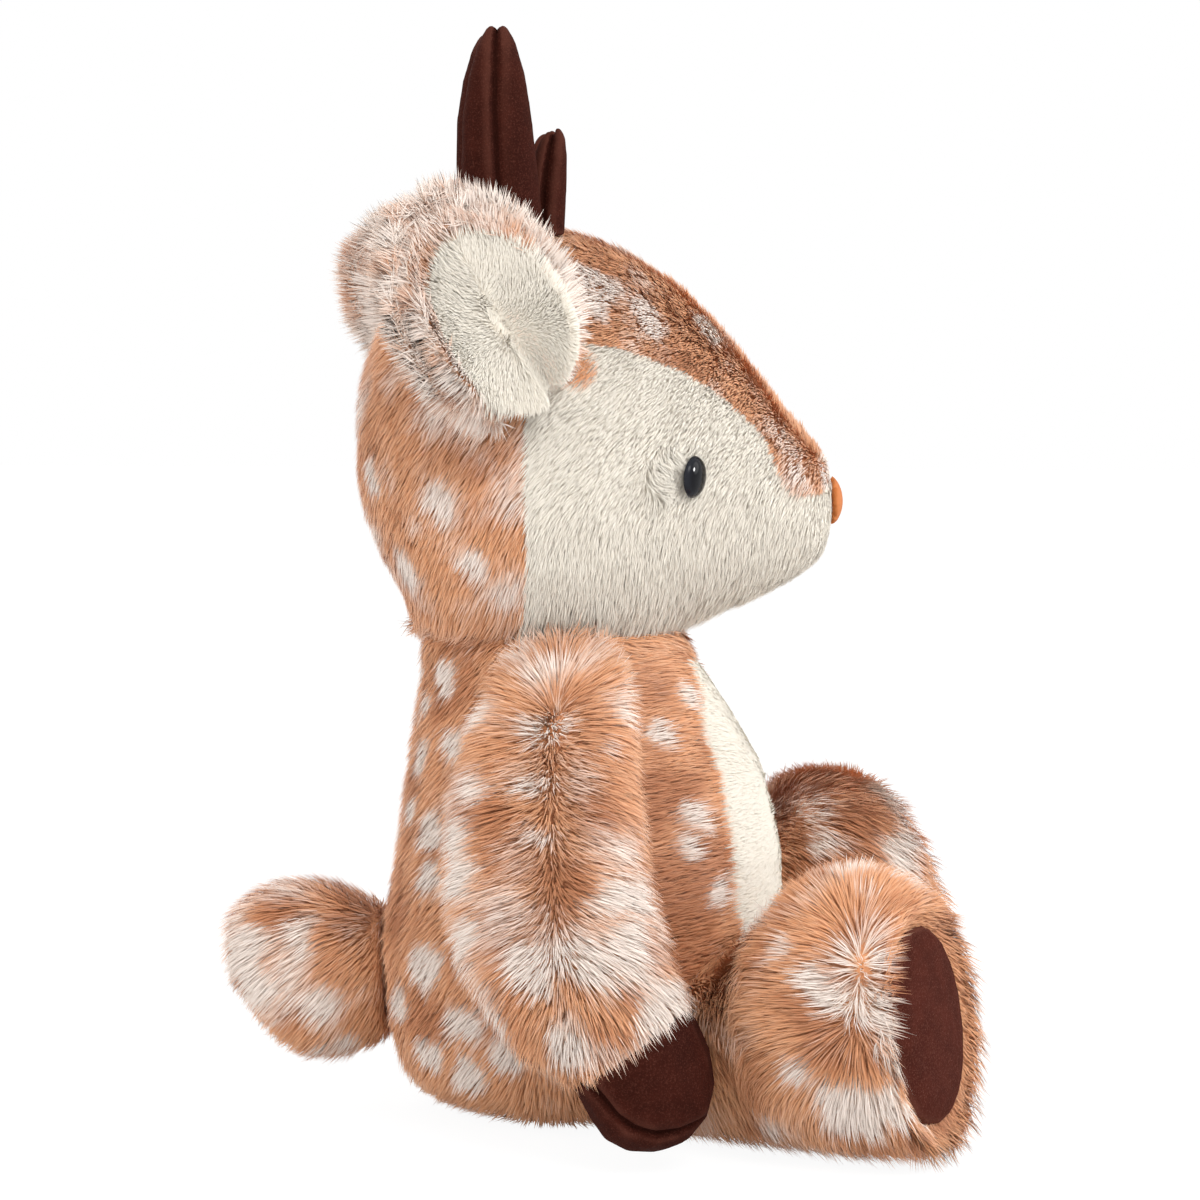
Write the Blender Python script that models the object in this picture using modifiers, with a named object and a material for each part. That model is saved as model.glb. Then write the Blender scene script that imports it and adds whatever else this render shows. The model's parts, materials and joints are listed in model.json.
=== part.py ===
"""A sitting plush deer: sewn plush bags, each filled with its own stuffing.

Metres, +Z up. The deer faces -Y and its right side is at -X. The origin is on the floor, at
the middle of the flat of its seat. Every bag is a loft of rings along a spine. A ring stands
at a forward and a height share of its form, is tilted about X, and swells and tapers with the
form. Skins are open patches of that loft with Solidify, and the stuffing is the same loft,
closed and shrunk by the skin.
"""

import math

import bmesh
import bpy
from mathutils import Matrix, Vector
from mathutils.bvhtree import BVHTree

# Cloth, seams and clearances
PLUSH = 0.005
GAP = 0.0003
LOOSE_GAP = 0.0006
SEAM = 0.002
FLAT_DEPTH = 0.0005
PRESS = 0.0008
OVERRUN = 0.01
NECK_REACH = 0.03

# Body
BODY_HEIGHT = 0.1475
BODY_DEPTH = 0.123
BODY_WIDTH = 0.114

# Head, in its own frame on the neck
HEAD_LENGTH = 0.148
HEAD_HEIGHT = 0.122
HEAD_WIDTH = 0.109
HEAD_TURN = math.radians(8)

# Ears
EAR_LENGTH = 0.068
EAR_WIDTH = 0.048
EAR_CUP = 0.013
EAR_PLUSH = 0.007
EAR_PILE = 0.005
EAR_NEST = 0.0016
EAR_LEAN_RIGHT = 0.0
EAR_LEAN_LEFT = math.radians(14)

# Antlers
ANTLER_LENGTH = 0.0705
ANTLER_DEPTH = 0.0225
ANTLER_WIDTH = 0.018
ANTLER_GROOVE = 0.0011
BRANCH_LENGTH = 0.041
BRANCH_DEPTH = 0.013
BRANCH_WIDTH = 0.012

# Face
EYE_DIAMETER = 0.012
EYE_DOME = 0.0036
SHANK_DIAMETER = 0.004
SHANK_LENGTH = 0.0125
SHANK_RIB = 0.0005
WASHER_DIAMETER = 0.013
WASHER_THICKNESS = 0.0014
WASHER_SETTLE = 0.0009
NOSE_WIDTH = 0.019
NOSE_HEIGHT = 0.0155
NOSE_DEPTH = 0.012
NOSE_SINK = 0.003

# Arms and hooves
ARM_LENGTH = 0.111
ARM_DEPTH = 0.062
ARM_THICKNESS = 0.044
ARM_SPREAD_RIGHT = 0.046
ARM_SPREAD_LEFT = 0.055
ARM_FORWARD = 0.0275
HOOF_LENGTH = 0.031
HOOF_DEPTH = 0.041
HOOF_THICKNESS = 0.034
HOOF_CLEFT = 0.0012

# Legs and feet
LEG_LENGTH = 0.0995
FOOT_HEIGHT = 0.0865
FOOT_WIDTH = 0.069
LEG_SPLAY_RIGHT = math.radians(27)
LEG_SPLAY_LEFT = math.radians(29)
LEG_LIFT_RIGHT = 0.0
LEG_LIFT_LEFT = math.radians(9.5)
PAD_DOME = 0.005
PAD_SINK = 0.0065

# Tail
TAIL_LENGTH = 0.058
TAIL_HEIGHT = 0.057
TAIL_WIDTH = 0.046

# Bean bag in the seat
BAG_HEIGHT = 0.02
BAG_DIAMETER = 0.07

# Shape tables: shares of the sizes above, chosen by hand.
# Body rings: height, forward middle, half depth, half width, and the angle of the tummy seam.
BODY_SHARES = (
    (0.0, 0.03, 0.21, 0.23, 0.42),
    (0.014, 0.025, 0.32, 0.34, 0.44),
    (0.048, 0.02, 0.405, 0.42, 0.48),
    (0.1, 0.018, 0.46, 0.466, 0.52),
    (0.21, 0.016, 0.49, 0.495, 0.56),
    (0.355, 0.018, 0.5, 0.5, 0.6),
    (0.535, 0.03, 0.482, 0.468, 0.62),
    (0.72, 0.02, 0.44, 0.41, 0.58),
    (0.85, -0.015, 0.382, 0.362, 0.48),
    (0.95, -0.048, 0.335, 0.326, 0.34),
    (1.02, -0.061, 0.318, 0.308, 0.26),
    (1.11, -0.061, 0.315, 0.3, 0.24),
)

# Head rings: forward, low edge, high edge, half width.
HEAD_SHARES = (
    (-0.392, 0.35, 0.55, 0.14),
    (-0.38, 0.28, 0.64, 0.22),
    (-0.345, 0.17, 0.75, 0.315),
    (-0.28, 0.02, 0.87, 0.405),
    (-0.185, -0.08, 0.955, 0.47),
    (-0.062, -0.1, 1.0, 0.5),
    (0.05, -0.1, 0.98, 0.485),
    (0.16, -0.065, 0.93, 0.432),
    (0.26, 0.0, 0.85, 0.362),
    (0.345, 0.04, 0.75, 0.295),
    (0.42, 0.066, 0.64, 0.243),
    (0.485, 0.098, 0.535, 0.203),
    (0.535, 0.138, 0.468, 0.17),
    (0.562, 0.178, 0.425, 0.132),
    (0.572, 0.215, 0.388, 0.088),
)
HEAD_SEAM_ROW = 5
HEAD_TIP_ROW = 12
HEAD_SEAM_ANGLE = math.radians(60)

# Arm rings: forward, height, tilt, half depth, half thickness, spread.
ARM_SHARES = (
    (0.0, 1.0, 0.0, 0.15, 0.16, 0.0),
    (0.0, 0.975, 0.0, 0.225, 0.25, 0.05),
    (0.0, 0.93, 0.0, 0.3, 0.34, 0.15),
    (-0.08, 0.8, 0.0, 0.39, 0.43, 0.36),
    (-0.14, 0.62, 0.0, 0.455, 0.48, 0.56),
    (-0.1, 0.42, 0.02, 0.49, 0.5, 0.72),
    (0.08, 0.225, 0.14, 0.5, 0.49, 0.86),
    (0.42, 0.085, 0.42, 0.435, 0.45, 0.95),
    (0.785, 0.0, 0.62, 0.345, 0.405, 1.0),
)

# Hoof rings: along the hoof, half depth, half thickness, tilt.
HOOF_SHARES = (
    (0.0, 0.49, 0.49, 0.62),
    (0.16, 0.5, 0.5, 0.58),
    (0.4, 0.49, 0.49, 0.5),
    (0.66, 0.44, 0.43, 0.44),
    (0.86, 0.32, 0.3, 0.42),
    (0.97, 0.16, 0.15, 0.42),
    (1.0, 0.05, 0.05, 0.42),
)

# Leg rings: forward, low edge, high edge, half width, backward lean.
LEG_SHARES = (
    (-0.06, 0.14, 0.47, 0.24, 0.0),
    (0.03, 0.04, 0.55, 0.33, 0.0),
    (0.19, 0.0, 0.6, 0.385, 0.0),
    (0.33, 0.0, 0.66, 0.41, 0.0),
    (0.46, 0.0, 0.83, 0.46, 0.02),
    (0.61, 0.0, 0.97, 0.495, 0.05),
    (0.77, 0.004, 1.0, 0.5, 0.09),
    (0.89, 0.02, 0.965, 0.475, 0.12),
    (0.96, 0.05, 0.925, 0.44, 0.14),
    (1.0, 0.085, 0.885, 0.4, 0.14),
)

# Pad rings: along the dome, and size against the rim that it closes.
PAD_SHARES = ((0.0, 1.0), (0.45, 0.95), (0.8, 0.73), (0.96, 0.38), (1.0, 0.12))

# Tail rings: backward, low edge, high edge, half width.
TAIL_SHARES = (
    (-0.16, 0.26, 0.7, 0.26),
    (0.0, 0.22, 0.74, 0.3),
    (0.16, 0.1, 0.86, 0.4),
    (0.35, 0.01, 0.96, 0.49),
    (0.53, 0.0, 1.0, 0.5),
    (0.71, 0.1, 0.99, 0.45),
    (0.86, 0.26, 0.93, 0.34),
    (0.95, 0.39, 0.86, 0.24),
    (1.0, 0.47, 0.8, 0.16),
)

# Antler rings: along the tine, half depth, half width, forward lean.
ANTLER_SHARES = (
    (0.0, 0.47, 0.47, 0.16),
    (0.2, 0.5, 0.5, 0.1),
    (0.42, 0.5, 0.5, 0.03),
    (0.62, 0.455, 0.46, 0.0),
    (0.79, 0.37, 0.38, 0.0),
    (0.92, 0.245, 0.26, 0.0),
    (0.985, 0.11, 0.12, 0.0),
    (1.0, 0.03, 0.04, 0.0),
)

# Bean bag rings: height, half diameter.
BAG_SHARES = ((0.0, 0.34), (0.12, 0.44), (0.4, 0.5), (0.7, 0.45), (0.93, 0.26), (1.0, 0.08))

# Ear rows from the root to the tip: along, half width, depth of the fold, cup of the rims.
EAR_SHARES = (
    (0.0, 0.2, 0.9, 0.9),
    (0.1, 0.31, 0.8, 1.0),
    (0.25, 0.42, 0.6, 1.0),
    (0.42, 0.49, 0.4, 0.9),
    (0.58, 0.5, 0.25, 0.75),
    (0.74, 0.455, 0.15, 0.6),
    (0.87, 0.355, 0.1, 0.5),
    (0.96, 0.22, 0.05, 0.4),
    (1.0, 0.1, 0.0, 0.3),
)
EAR_FRONT_SHARE = 0.76
MIDDLE_SHARE = 0.5

# Places of what is sewn on, as shares of the form that carries it.
NECK_MIDDLE_SHARE = -0.061
SHOULDER_SHARE = 0.33
HIP_WIDTH_SHARE = 0.26
HIP_FORWARD_SHARE = 0.18
TAIL_ROOT_SHARE = -0.4
TAIL_LIFT_SHARE = 0.085
EAR_ROOT_SHARES = (-0.075, 0.46, 0.58)
EAR_AXIS_SHARES = (-0.44, 0.36, 0.82)
EAR_FACE_SHARES = (0.36, 0.92, -0.18)
ANTLER_ROOT_SHARES = (-0.114, 0.2, 0.89)
BRANCH_OFFSET_SHARES = (0.5, -0.4)
BRANCH_LEAN = math.radians(9)
EYE_HEIGHT_SHARE = 0.385
EYE_FORWARD_SHARE = 0.265
NOSE_HEIGHT_SHARE = 0.305
BAG_FORWARD_SHARE = 0.025
RIB_TOP_SHARE = 0.2
RIB_BOTTOM_SHARE = 0.7

# Mesh counts and the roundness of the rings
ROUND_POWER = 2.15
SEAM_COLUMNS = 3
SIDE_COLUMNS = 8
LIMB_COLUMNS = 18
SMALL_COLUMNS = 16
SHANK_RIBS = 3
EAR_COLUMNS = 8

SIDES = (("right", -1), ("left", 1))
BROWN = (0.56, 0.28, 0.15)
CREAM = (0.86, 0.80, 0.68)
SUEDE = (0.10, 0.035, 0.025)
FILLING = (0.9, 0.9, 0.88)
BEANS = (0.6, 0.6, 0.62)
BLACK = (0.01, 0.01, 0.012)
AMBER = (0.55, 0.17, 0.04)
WASHER = (0.85, 0.85, 0.85)


def clear_scene():
    for old in list(bpy.data.objects):
        bpy.data.objects.remove(old, do_unlink=True)


def make_collection(name):
    collection = bpy.data.collections.new(name)
    bpy.context.scene.collection.children.link(collection)
    return collection


def material(name, colour, roughness):
    found = bpy.data.materials.get(name)
    if found:
        return found
    found = bpy.data.materials.new(name)
    found.use_nodes = True
    shader = found.node_tree.nodes["Principled BSDF"]
    shader.inputs["Base Color"].default_value = (*colour, 1.0)
    shader.inputs["Roughness"].default_value = roughness
    shader.inputs["Metallic"].default_value = 0.0
    return found


def link_object(name, mesh, collection, parent=None, finish=None):
    """A new object for a mesh whose points are in the parent's frame."""
    obj = bpy.data.objects.new(name, mesh)
    collection.objects.link(obj)
    obj.parent = parent
    if finish:
        mesh.materials.append(material(*finish))
    return obj


def make_empty(name, collection, place, turn=0.0, parent=None):
    empty = bpy.data.objects.new(name, None)
    collection.objects.link(empty)
    empty.parent = parent
    empty.location = place
    empty.rotation_euler = (0.0, 0.0, turn)
    return empty


def as_cutter(obj):
    obj.hide_render = True
    obj.display_type = "WIRE"
    return obj


def cut(obj, cutter, solver="EXACT"):
    """Takes the cutter's volume out of the object."""
    modifier = obj.modifiers.new("cut by " + cutter.name, "BOOLEAN")
    modifier.operation = "DIFFERENCE"
    modifier.object = cutter
    modifier.solver = solver
    return obj


def cut_filling(obj, cutter):
    """The exact solver loses a shrunk loft, which the manifold one keeps."""
    return cut(obj, cutter, "MANIFOLD")


def join(obj, other):
    modifier = obj.modifiers.new("join " + other.name, "BOOLEAN")
    modifier.operation = "UNION"
    modifier.object = other
    modifier.solver = "EXACT"
    return obj


def displace(obj, distance):
    """Moves the whole surface out by the distance, or in where it is negative."""
    modifier = obj.modifiers.new("offset", "DISPLACE")
    modifier.direction = "NORMAL"
    modifier.mid_level = 0.0
    modifier.strength = distance
    return obj


def solidify(obj, thickness):
    modifier = obj.modifiers.new("cloth", "SOLIDIFY")
    modifier.thickness = thickness
    modifier.offset = -1.0
    modifier.use_even_offset = False
    return obj


def between(a, b, c, d, f):
    """Catmull-Rom: the value at share f between b and c."""
    line = 2 * b + (c - a) * f
    curve = (2 * a - 5 * b + 4 * c - d) * f * f
    return (line + curve + (3 * b - a - 3 * c + d) * f**3) / 2


def station_at(stations, t):
    """The ring at place t, counted in stations, on a smooth curve through them."""
    last = len(stations) - 1
    i = min(int(t), last - 1)
    picked = (stations[max(i - 1, 0)], stations[i], stations[i + 1], stations[min(i + 2, last)])
    return tuple(between(*values, t - i) for values in zip(*picked))


def round_share(value):
    return math.copysign(abs(value) ** (2 / ROUND_POWER), value)


def ring_point(station, angle):
    """A point of a ring. Angle 0 is its front or top, and a quarter turn is the side at +X."""
    forward, height, tilt, half_depth, half_width, sideways = station[:6]
    reach = half_depth * round_share(math.cos(angle))
    x = sideways + half_width * round_share(math.sin(angle))
    return Vector((x, -(forward + reach * math.cos(tilt)), height + reach * math.sin(tilt)))


def seam_angles(seam, slit):
    """Columns from the front round to the back and on, with a slit along each seam."""
    inside = [(seam - slit) * k / SEAM_COLUMNS for k in range(SEAM_COLUMNS + 1)]
    rest = math.pi - seam - slit
    outside = [seam + slit + rest * k / SIDE_COLUMNS for k in range(SIDE_COLUMNS + 1)]
    half = inside + outside
    return half + [2 * math.pi - angle for angle in reversed(half[1:-1])]


def even_angles(columns):
    return [2 * math.pi * k / columns for k in range(columns)]


def loft_grid(stations, places, angles_of):
    """Points row by row, for places counted in stations."""
    grid = []
    for t in places:
        station = station_at(stations, t)
        grid.append([ring_point(station, angle) for angle in angles_of(station)])
    return grid


def grid_mesh(name, grid, keep=None, first_cap=True, last_cap=True):
    """Quads between the rows of a grid of rings, where keep(row, column) allows them."""
    built = bmesh.new()
    rows = [[built.verts.new(point) for point in ring] for ring in grid]
    columns = len(grid[0])
    for i in range(len(rows) - 1):
        for j in range(columns):
            if keep and not keep(i, j):
                continue
            k = (j + 1) % columns
            built.faces.new((rows[i][j], rows[i][k], rows[i + 1][k], rows[i + 1][j]))
    if first_cap:
        built.faces.new(list(reversed(rows[0])))
    if last_cap:
        built.faces.new(rows[-1])
    loose = [vert for vert in built.verts if not vert.link_faces]
    bmesh.ops.delete(built, geom=loose, context="VERTS")
    bmesh.ops.triangulate(built, faces=built.faces, quad_method="SHORT_EDGE")
    point_outwards(built, grid)
    mesh = bpy.data.meshes.new(name)
    built.to_mesh(mesh)
    built.free()
    mesh.shade_smooth()
    return mesh


def point_outwards(built, grid):
    """Turns the faces away from the middle of the rings that they lie on."""
    bmesh.ops.recalc_face_normals(built, faces=built.faces)
    middles = [sum(ring, Vector()) / len(ring) for ring in grid]
    score = 0.0
    for face in built.faces:
        middle = face.calc_center_median()
        nearest = min(middles, key=lambda point: (point - middle).length)
        score += face.normal.dot(middle - nearest) * face.calc_area()
    if score < 0:
        bmesh.ops.reverse_faces(built, faces=built.faces)


def station_places(stations):
    return [float(k) for k in range(len(stations))]


def body_stations():
    """Rings of the body: they lie flat, from below the floor's flat up past the neck."""
    return [
        (
            forward * BODY_DEPTH,
            height * BODY_HEIGHT - FLAT_DEPTH,
            0.0,
            half_depth * BODY_DEPTH,
            half_width * BODY_WIDTH,
            0.0,
            seam,
        )
        for height, forward, half_depth, half_width, seam in BODY_SHARES
    ]


def upright_station(forward, low, high, half_width, lean=0.0):
    """A ring that stands across the forward direction, between its low and high edges."""
    middle = (low + high) / 2
    return (forward, middle, math.pi / 2 + lean, (high - low) / 2, half_width, 0.0)


def moved_along(station, reach):
    """The same ring, moved along its own axis."""
    forward, height, tilt, *rest = station
    return (forward + reach * math.sin(tilt), height - reach * math.cos(tilt), tilt, *rest)


def head_stations():
    return [
        (
            *upright_station(
                forward * HEAD_LENGTH, low * HEAD_HEIGHT, high * HEAD_HEIGHT, half_width * HEAD_WIDTH
            ),
            HEAD_SEAM_ANGLE,
        )
        for forward, low, high, half_width in HEAD_SHARES
    ]


def leg_stations():
    return [
        upright_station(
            forward * LEG_LENGTH,
            low * (FOOT_HEIGHT + FLAT_DEPTH) - FLAT_DEPTH,
            high * FOOT_HEIGHT,
            half_width * FOOT_WIDTH,
            lean,
        )
        for forward, low, high, half_width, lean in LEG_SHARES
    ]


def tail_stations():
    return [
        upright_station(
            -back * TAIL_LENGTH, low * TAIL_HEIGHT, high * TAIL_HEIGHT, half_width * TAIL_WIDTH
        )
        for back, low, high, half_width in TAIL_SHARES
    ]


def arm_stations(side):
    """Rings of an arm that hangs from the shoulder, measured up from its cuff."""
    reach = ARM_SPREAD_LEFT if side > 0 else ARM_SPREAD_RIGHT
    return [
        (
            forward * ARM_FORWARD,
            (height - 1) * ARM_LENGTH,
            tilt,
            half_depth * ARM_DEPTH,
            half_width * ARM_THICKNESS,
            side * spread * reach,
        )
        for forward, height, tilt, half_depth, half_width, spread in ARM_SHARES
    ]


def hoof_stations(side):
    """Rings of the hoof, which goes on from the cuff, square to its rings."""
    forward, height, tilt, _, _, spread = arm_stations(side)[-1]
    stations = []
    for along, half_depth, half_width, lean in HOOF_SHARES:
        reach = LOOSE_GAP + along * HOOF_LENGTH
        stations.append(
            (
                forward + reach * math.sin(lean),
                height - reach * math.cos(lean),
                lean,
                half_depth * HOOF_DEPTH,
                half_width * HOOF_THICKNESS,
                spread,
            )
        )
    return stations


def end_block(name, cutters, parent, station):
    """A block that starts at a ring's plane, to cut a stuffing flat there."""
    size = (station[3] + station[4]) * 2
    forward, height, tilt, _, _, sideways = moved_along(station, size / 2)
    built = bmesh.new()
    place = Matrix.Translation((sideways, -forward, height)) @ Matrix.Rotation(-tilt, 4, "X")
    bmesh.ops.create_cube(built, size=size, matrix=place)
    return as_cutter(mesh_object(name, built, cutters, parent))


def patch_rows(stations, slit_rows):
    """Rows of a sewn form, with each slit row doubled by the seam's width."""
    places = set(station_places(stations))
    slits = []
    for row in slit_rows:
        near = station_at(stations, row)
        past = station_at(stations, row + 0.5)
        step = (ring_point(past, math.pi / 2) - ring_point(near, math.pi / 2)).length
        half = SEAM / 4 / step
        places -= {float(row)}
        places |= {row - half, row + half}
        slits.append(row - half)
    places = sorted(places)
    return places, [places.index(slit) for slit in slits]


def sewn_angles(station):
    seam = station[6]
    slit = SEAM / 2 / max(station[3], station[4])
    return seam_angles(seam, slit)


def column_zone(column, columns):
    """Counts columns from the front on both sides: under SEAM_COLUMNS is inside the seams."""
    return min(column, columns - 1 - column)


def build_body(parts, cutters):
    stations = body_stations()
    places, slits = patch_rows(stations, (1, 9))
    grid = loft_grid(stations, places, sewn_angles)
    columns = len(grid[0])
    low, high = slits

    def in_tummy(i, j):
        return low < i < high and column_zone(j, columns) < SEAM_COLUMNS

    def in_shell(i, j):
        if low <= i <= high:
            return column_zone(j, columns) > SEAM_COLUMNS
        return True

    brown = ("brown plush", BROWN, 0.95)
    shell = grid_mesh("body_plush", grid, in_shell, last_cap=False)
    shell = link_object("body_plush", shell, parts, finish=brown)
    tummy = grid_mesh("tummy_panel", grid, in_tummy, False, False)
    tummy = link_object("tummy_panel", tummy, parts, finish=("cream plush", CREAM, 0.95))
    filling = grid_mesh("body_stuffing", grid)
    filling = link_object("body_stuffing", filling, parts, finish=("filling", FILLING, 1.0))
    whole = link_object("body_form", grid_mesh("body_form", grid), cutters)
    displace(as_cutter(whole), GAP)
    solidify(shell, PLUSH)
    solidify(tummy, PLUSH)
    displace(filling, -(PLUSH + GAP))
    bag, pocket = build_bean_bag(parts, cutters)
    cut_filling(filling, pocket)
    floor = block("floor", cutters, -OVERRUN, 0.0)
    above = block("above_neck", cutters, BODY_HEIGHT - GAP / 2, BODY_HEIGHT + NECK_REACH)
    cut(shell, floor)
    cut(shell, above)
    cut_filling(filling, above)
    return whole, floor, BVHTree.FromPolygons(*grid_polygons(grid))


def block(name, collection, low, high):
    """A wide slab between two heights, to cut flats with."""
    reach = BODY_DEPTH + HEAD_LENGTH + LEG_LENGTH
    built = bmesh.new()
    size = Matrix.Diagonal((reach * 2, reach * 2, high - low, 1))
    place = Matrix.Translation((0, 0, (low + high) / 2))
    bmesh.ops.create_cube(built, size=1, matrix=place @ size)
    mesh = bpy.data.meshes.new(name)
    built.to_mesh(mesh)
    built.free()
    return as_cutter(link_object(name, mesh, collection))


def build_bean_bag(parts, cutters):
    """A flat pouch of beans that lies on the seat, in a pocket of the stuffing open below."""
    base = PLUSH + GAP - FLAT_DEPTH
    stations = [
        (
            BAG_FORWARD_SHARE * BODY_DEPTH,
            base + height * BAG_HEIGHT,
            0.0,
            half * BAG_DIAMETER,
            half * BAG_DIAMETER,
            0.0,
        )
        for height, half in BAG_SHARES
    ]
    angles = even_angles(LIMB_COLUMNS)
    grid = loft_grid(stations, station_places(stations), lambda station: angles)
    finish = ("bean cloth", BEANS, 0.9)
    bag = link_object("seat_bean_bag", grid_mesh("seat_bean_bag", grid), parts, finish=finish)
    pocket = link_object("bag_pocket", grid_mesh("bag_pocket", grid), cutters)
    return bag, displace(as_cutter(pocket), LOOSE_GAP)


def build_head(parts, cutters, neck):
    stations = head_stations()
    places, (seam, tip) = patch_rows(stations, (HEAD_SEAM_ROW, HEAD_TIP_ROW))
    grid = loft_grid(stations, places, sewn_angles)
    columns = len(grid[0])

    def in_face(i, j):
        if i <= seam:
            return False
        return column_zone(j, columns) > SEAM_COLUMNS or i > tip

    def in_crown(i, j):
        if i < seam:
            return True
        return i < tip and column_zone(j, columns) < SEAM_COLUMNS

    brown = ("brown plush", BROWN, 0.95)
    cream = ("cream plush", CREAM, 0.95)
    crown = grid_mesh("head_plush", grid, in_crown, last_cap=False)
    crown = link_object("head_plush", crown, parts, neck, brown)
    face = grid_mesh("face_patch", grid, in_face, first_cap=False)
    face = link_object("face_patch", face, parts, neck, cream)
    filling = grid_mesh("head_stuffing", grid)
    filling = link_object("head_stuffing", filling, parts, neck, ("filling", FILLING, 1.0))
    whole = link_object("head_form", grid_mesh("head_form", grid), cutters, neck)
    displace(as_cutter(whole), GAP)
    solidify(crown, PLUSH)
    solidify(face, PLUSH)
    displace(filling, -(PLUSH + GAP))
    below = block("below_neck", cutters, BODY_HEIGHT - NECK_REACH, BODY_HEIGHT + GAP / 2)
    cut(crown, below)
    cut(face, below)
    cut_filling(filling, below)
    surface = BVHTree.FromPolygons(*grid_polygons(grid))
    return {"face": face, "filling": filling, "form": whole, "surface": surface}


def grid_polygons(grid):
    """The points and faces of a ring grid, for casting rays at it."""
    columns = len(grid[0])
    points = [point for ring in grid for point in ring]
    faces = []
    for i in range(len(grid) - 1):
        for j in range(columns):
            k = (j + 1) % columns
            faces.append(
                (i * columns + j, i * columns + k, (i + 1) * columns + k, (i + 1) * columns + j)
            )
    last = (len(grid) - 1) * columns
    faces.append(tuple(range(last, last + columns)))
    return points, faces


def frame_at(place, outward):
    """A matrix at a place whose Z points outwards."""
    return Matrix.Translation(place) @ outward.to_track_quat("Z", "Y").to_matrix().to_4x4()


def build_eyes(parts, cutters, neck, head):
    """Safety eyes: a glossy dome on a ribbed shank, held from inside by a washer."""
    for name, side in SIDES:
        start = Vector(
            (
                side * HEAD_WIDTH,
                -EYE_FORWARD_SHARE * HEAD_LENGTH,
                EYE_HEIGHT_SHARE * HEAD_HEIGHT,
            )
        )
        place, normal, _, _ = head["surface"].ray_cast(start, Vector((-side, 0, 0)))
        if normal.x * side < 0:
            normal = -normal
        frame = frame_at(place, normal)
        dome = bmesh.new()
        size = Matrix.Diagonal((EYE_DIAMETER / 2, EYE_DIAMETER / 2, EYE_DOME, 1))
        bmesh.ops.create_uvsphere(dome, u_segments=16, v_segments=8, radius=1, matrix=frame @ size)
        eye = mesh_object(f"eye_{name}", dome, parts, neck, ("eye", BLACK, 0.1))
        cut(eye, head["form"])
        shank = build_shank(f"shank_{name}", cutters, neck, frame)
        join(eye, shank)
        hole = tube(f"eye_hole_{name}", cutters, neck, frame, SHANK_DIAMETER / 2 + GAP, OVERRUN)
        cut(head["face"], hole)
        pocket_depth = SHANK_LENGTH + LOOSE_GAP
        pocket_radius = WASHER_DIAMETER / 2 + GAP
        pocket = tube(f"eye_pocket_{name}", cutters, neck, frame, pocket_radius, pocket_depth)
        cut_filling(head["filling"], pocket)
        build_washer(f"eye_washer_{name}", parts, neck, frame)


def mesh_object(name, built, collection, parent, finish=None):
    mesh = bpy.data.meshes.new(name)
    built.to_mesh(mesh)
    built.free()
    mesh.shade_smooth()
    return link_object(name, mesh, collection, parent, finish)


def tube(name, collection, parent, frame, radius, depth):
    """A plain cylinder cutter that runs in from the surface by its depth."""
    built = bmesh.new()
    place = frame @ Matrix.Translation((0, 0, (OVERRUN - depth) / 2))
    bmesh.ops.create_cone(
        built,
        cap_ends=True,
        segments=SMALL_COLUMNS,
        radius1=radius,
        radius2=radius,
        depth=depth + OVERRUN,
        matrix=place,
    )
    return as_cutter(mesh_object(name, built, collection, parent))


def turned(profile, frame):
    """Rings of points for a profile of (radius, height), swept once round the frame's Z."""
    built = bmesh.new()
    rings = []
    for radius, height in profile:
        rings.append(
            [
                built.verts.new(
                    frame @ Vector((radius * math.cos(angle), radius * math.sin(angle), height))
                )
                for angle in even_angles(SMALL_COLUMNS)
            ]
        )
    return built, rings


def build_shank(name, cutters, neck, frame):
    """The eye's shank, with three ribs, from inside the dome to its free end."""
    radius = SHANK_DIAMETER / 2
    start = EYE_DOME / 2
    profile = [(radius - SHANK_RIB, start)]
    free = SHANK_LENGTH - PLUSH
    for rib in range(SHANK_RIBS):
        top = -PLUSH - free * (rib + RIB_TOP_SHARE) / SHANK_RIBS
        bottom = -PLUSH - free * (rib + RIB_BOTTOM_SHARE) / SHANK_RIBS
        profile += [(radius - SHANK_RIB, top), (radius, (top + bottom) / 2)]
        profile += [(radius - SHANK_RIB, bottom)]
    profile.append((radius - SHANK_RIB, -SHANK_LENGTH))
    built, rings = turned(profile, frame)
    for upper, lower in zip(rings, rings[1:]):
        for k in range(SMALL_COLUMNS):
            after = (k + 1) % SMALL_COLUMNS
            built.faces.new((upper[k], upper[after], lower[after], lower[k]))
    built.faces.new(rings[0])
    built.faces.new(rings[-1])
    bmesh.ops.recalc_face_normals(built, faces=built.faces)
    return as_cutter(mesh_object(name, built, cutters, neck))


def build_washer(name, parts, neck, frame):
    """A flat ring pushed up the shank against the back of the cloth."""
    inner = SHANK_DIAMETER / 2 + GAP
    outer = WASHER_DIAMETER / 2
    top = -(PLUSH + WASHER_SETTLE)
    low = top - WASHER_THICKNESS
    profile = [(inner, top), (outer, top), (outer, low), (inner, low)]
    built, rings = turned(profile, frame)
    for k in range(len(rings)):
        upper = rings[k]
        lower = rings[(k + 1) % len(rings)]
        for j in range(SMALL_COLUMNS):
            after = (j + 1) % SMALL_COLUMNS
            built.faces.new((upper[j], upper[after], lower[after], lower[j]))
    bmesh.ops.recalc_face_normals(built, faces=built.faces)
    return mesh_object(name, built, parts, neck, ("washer", WASHER, 0.4))


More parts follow.
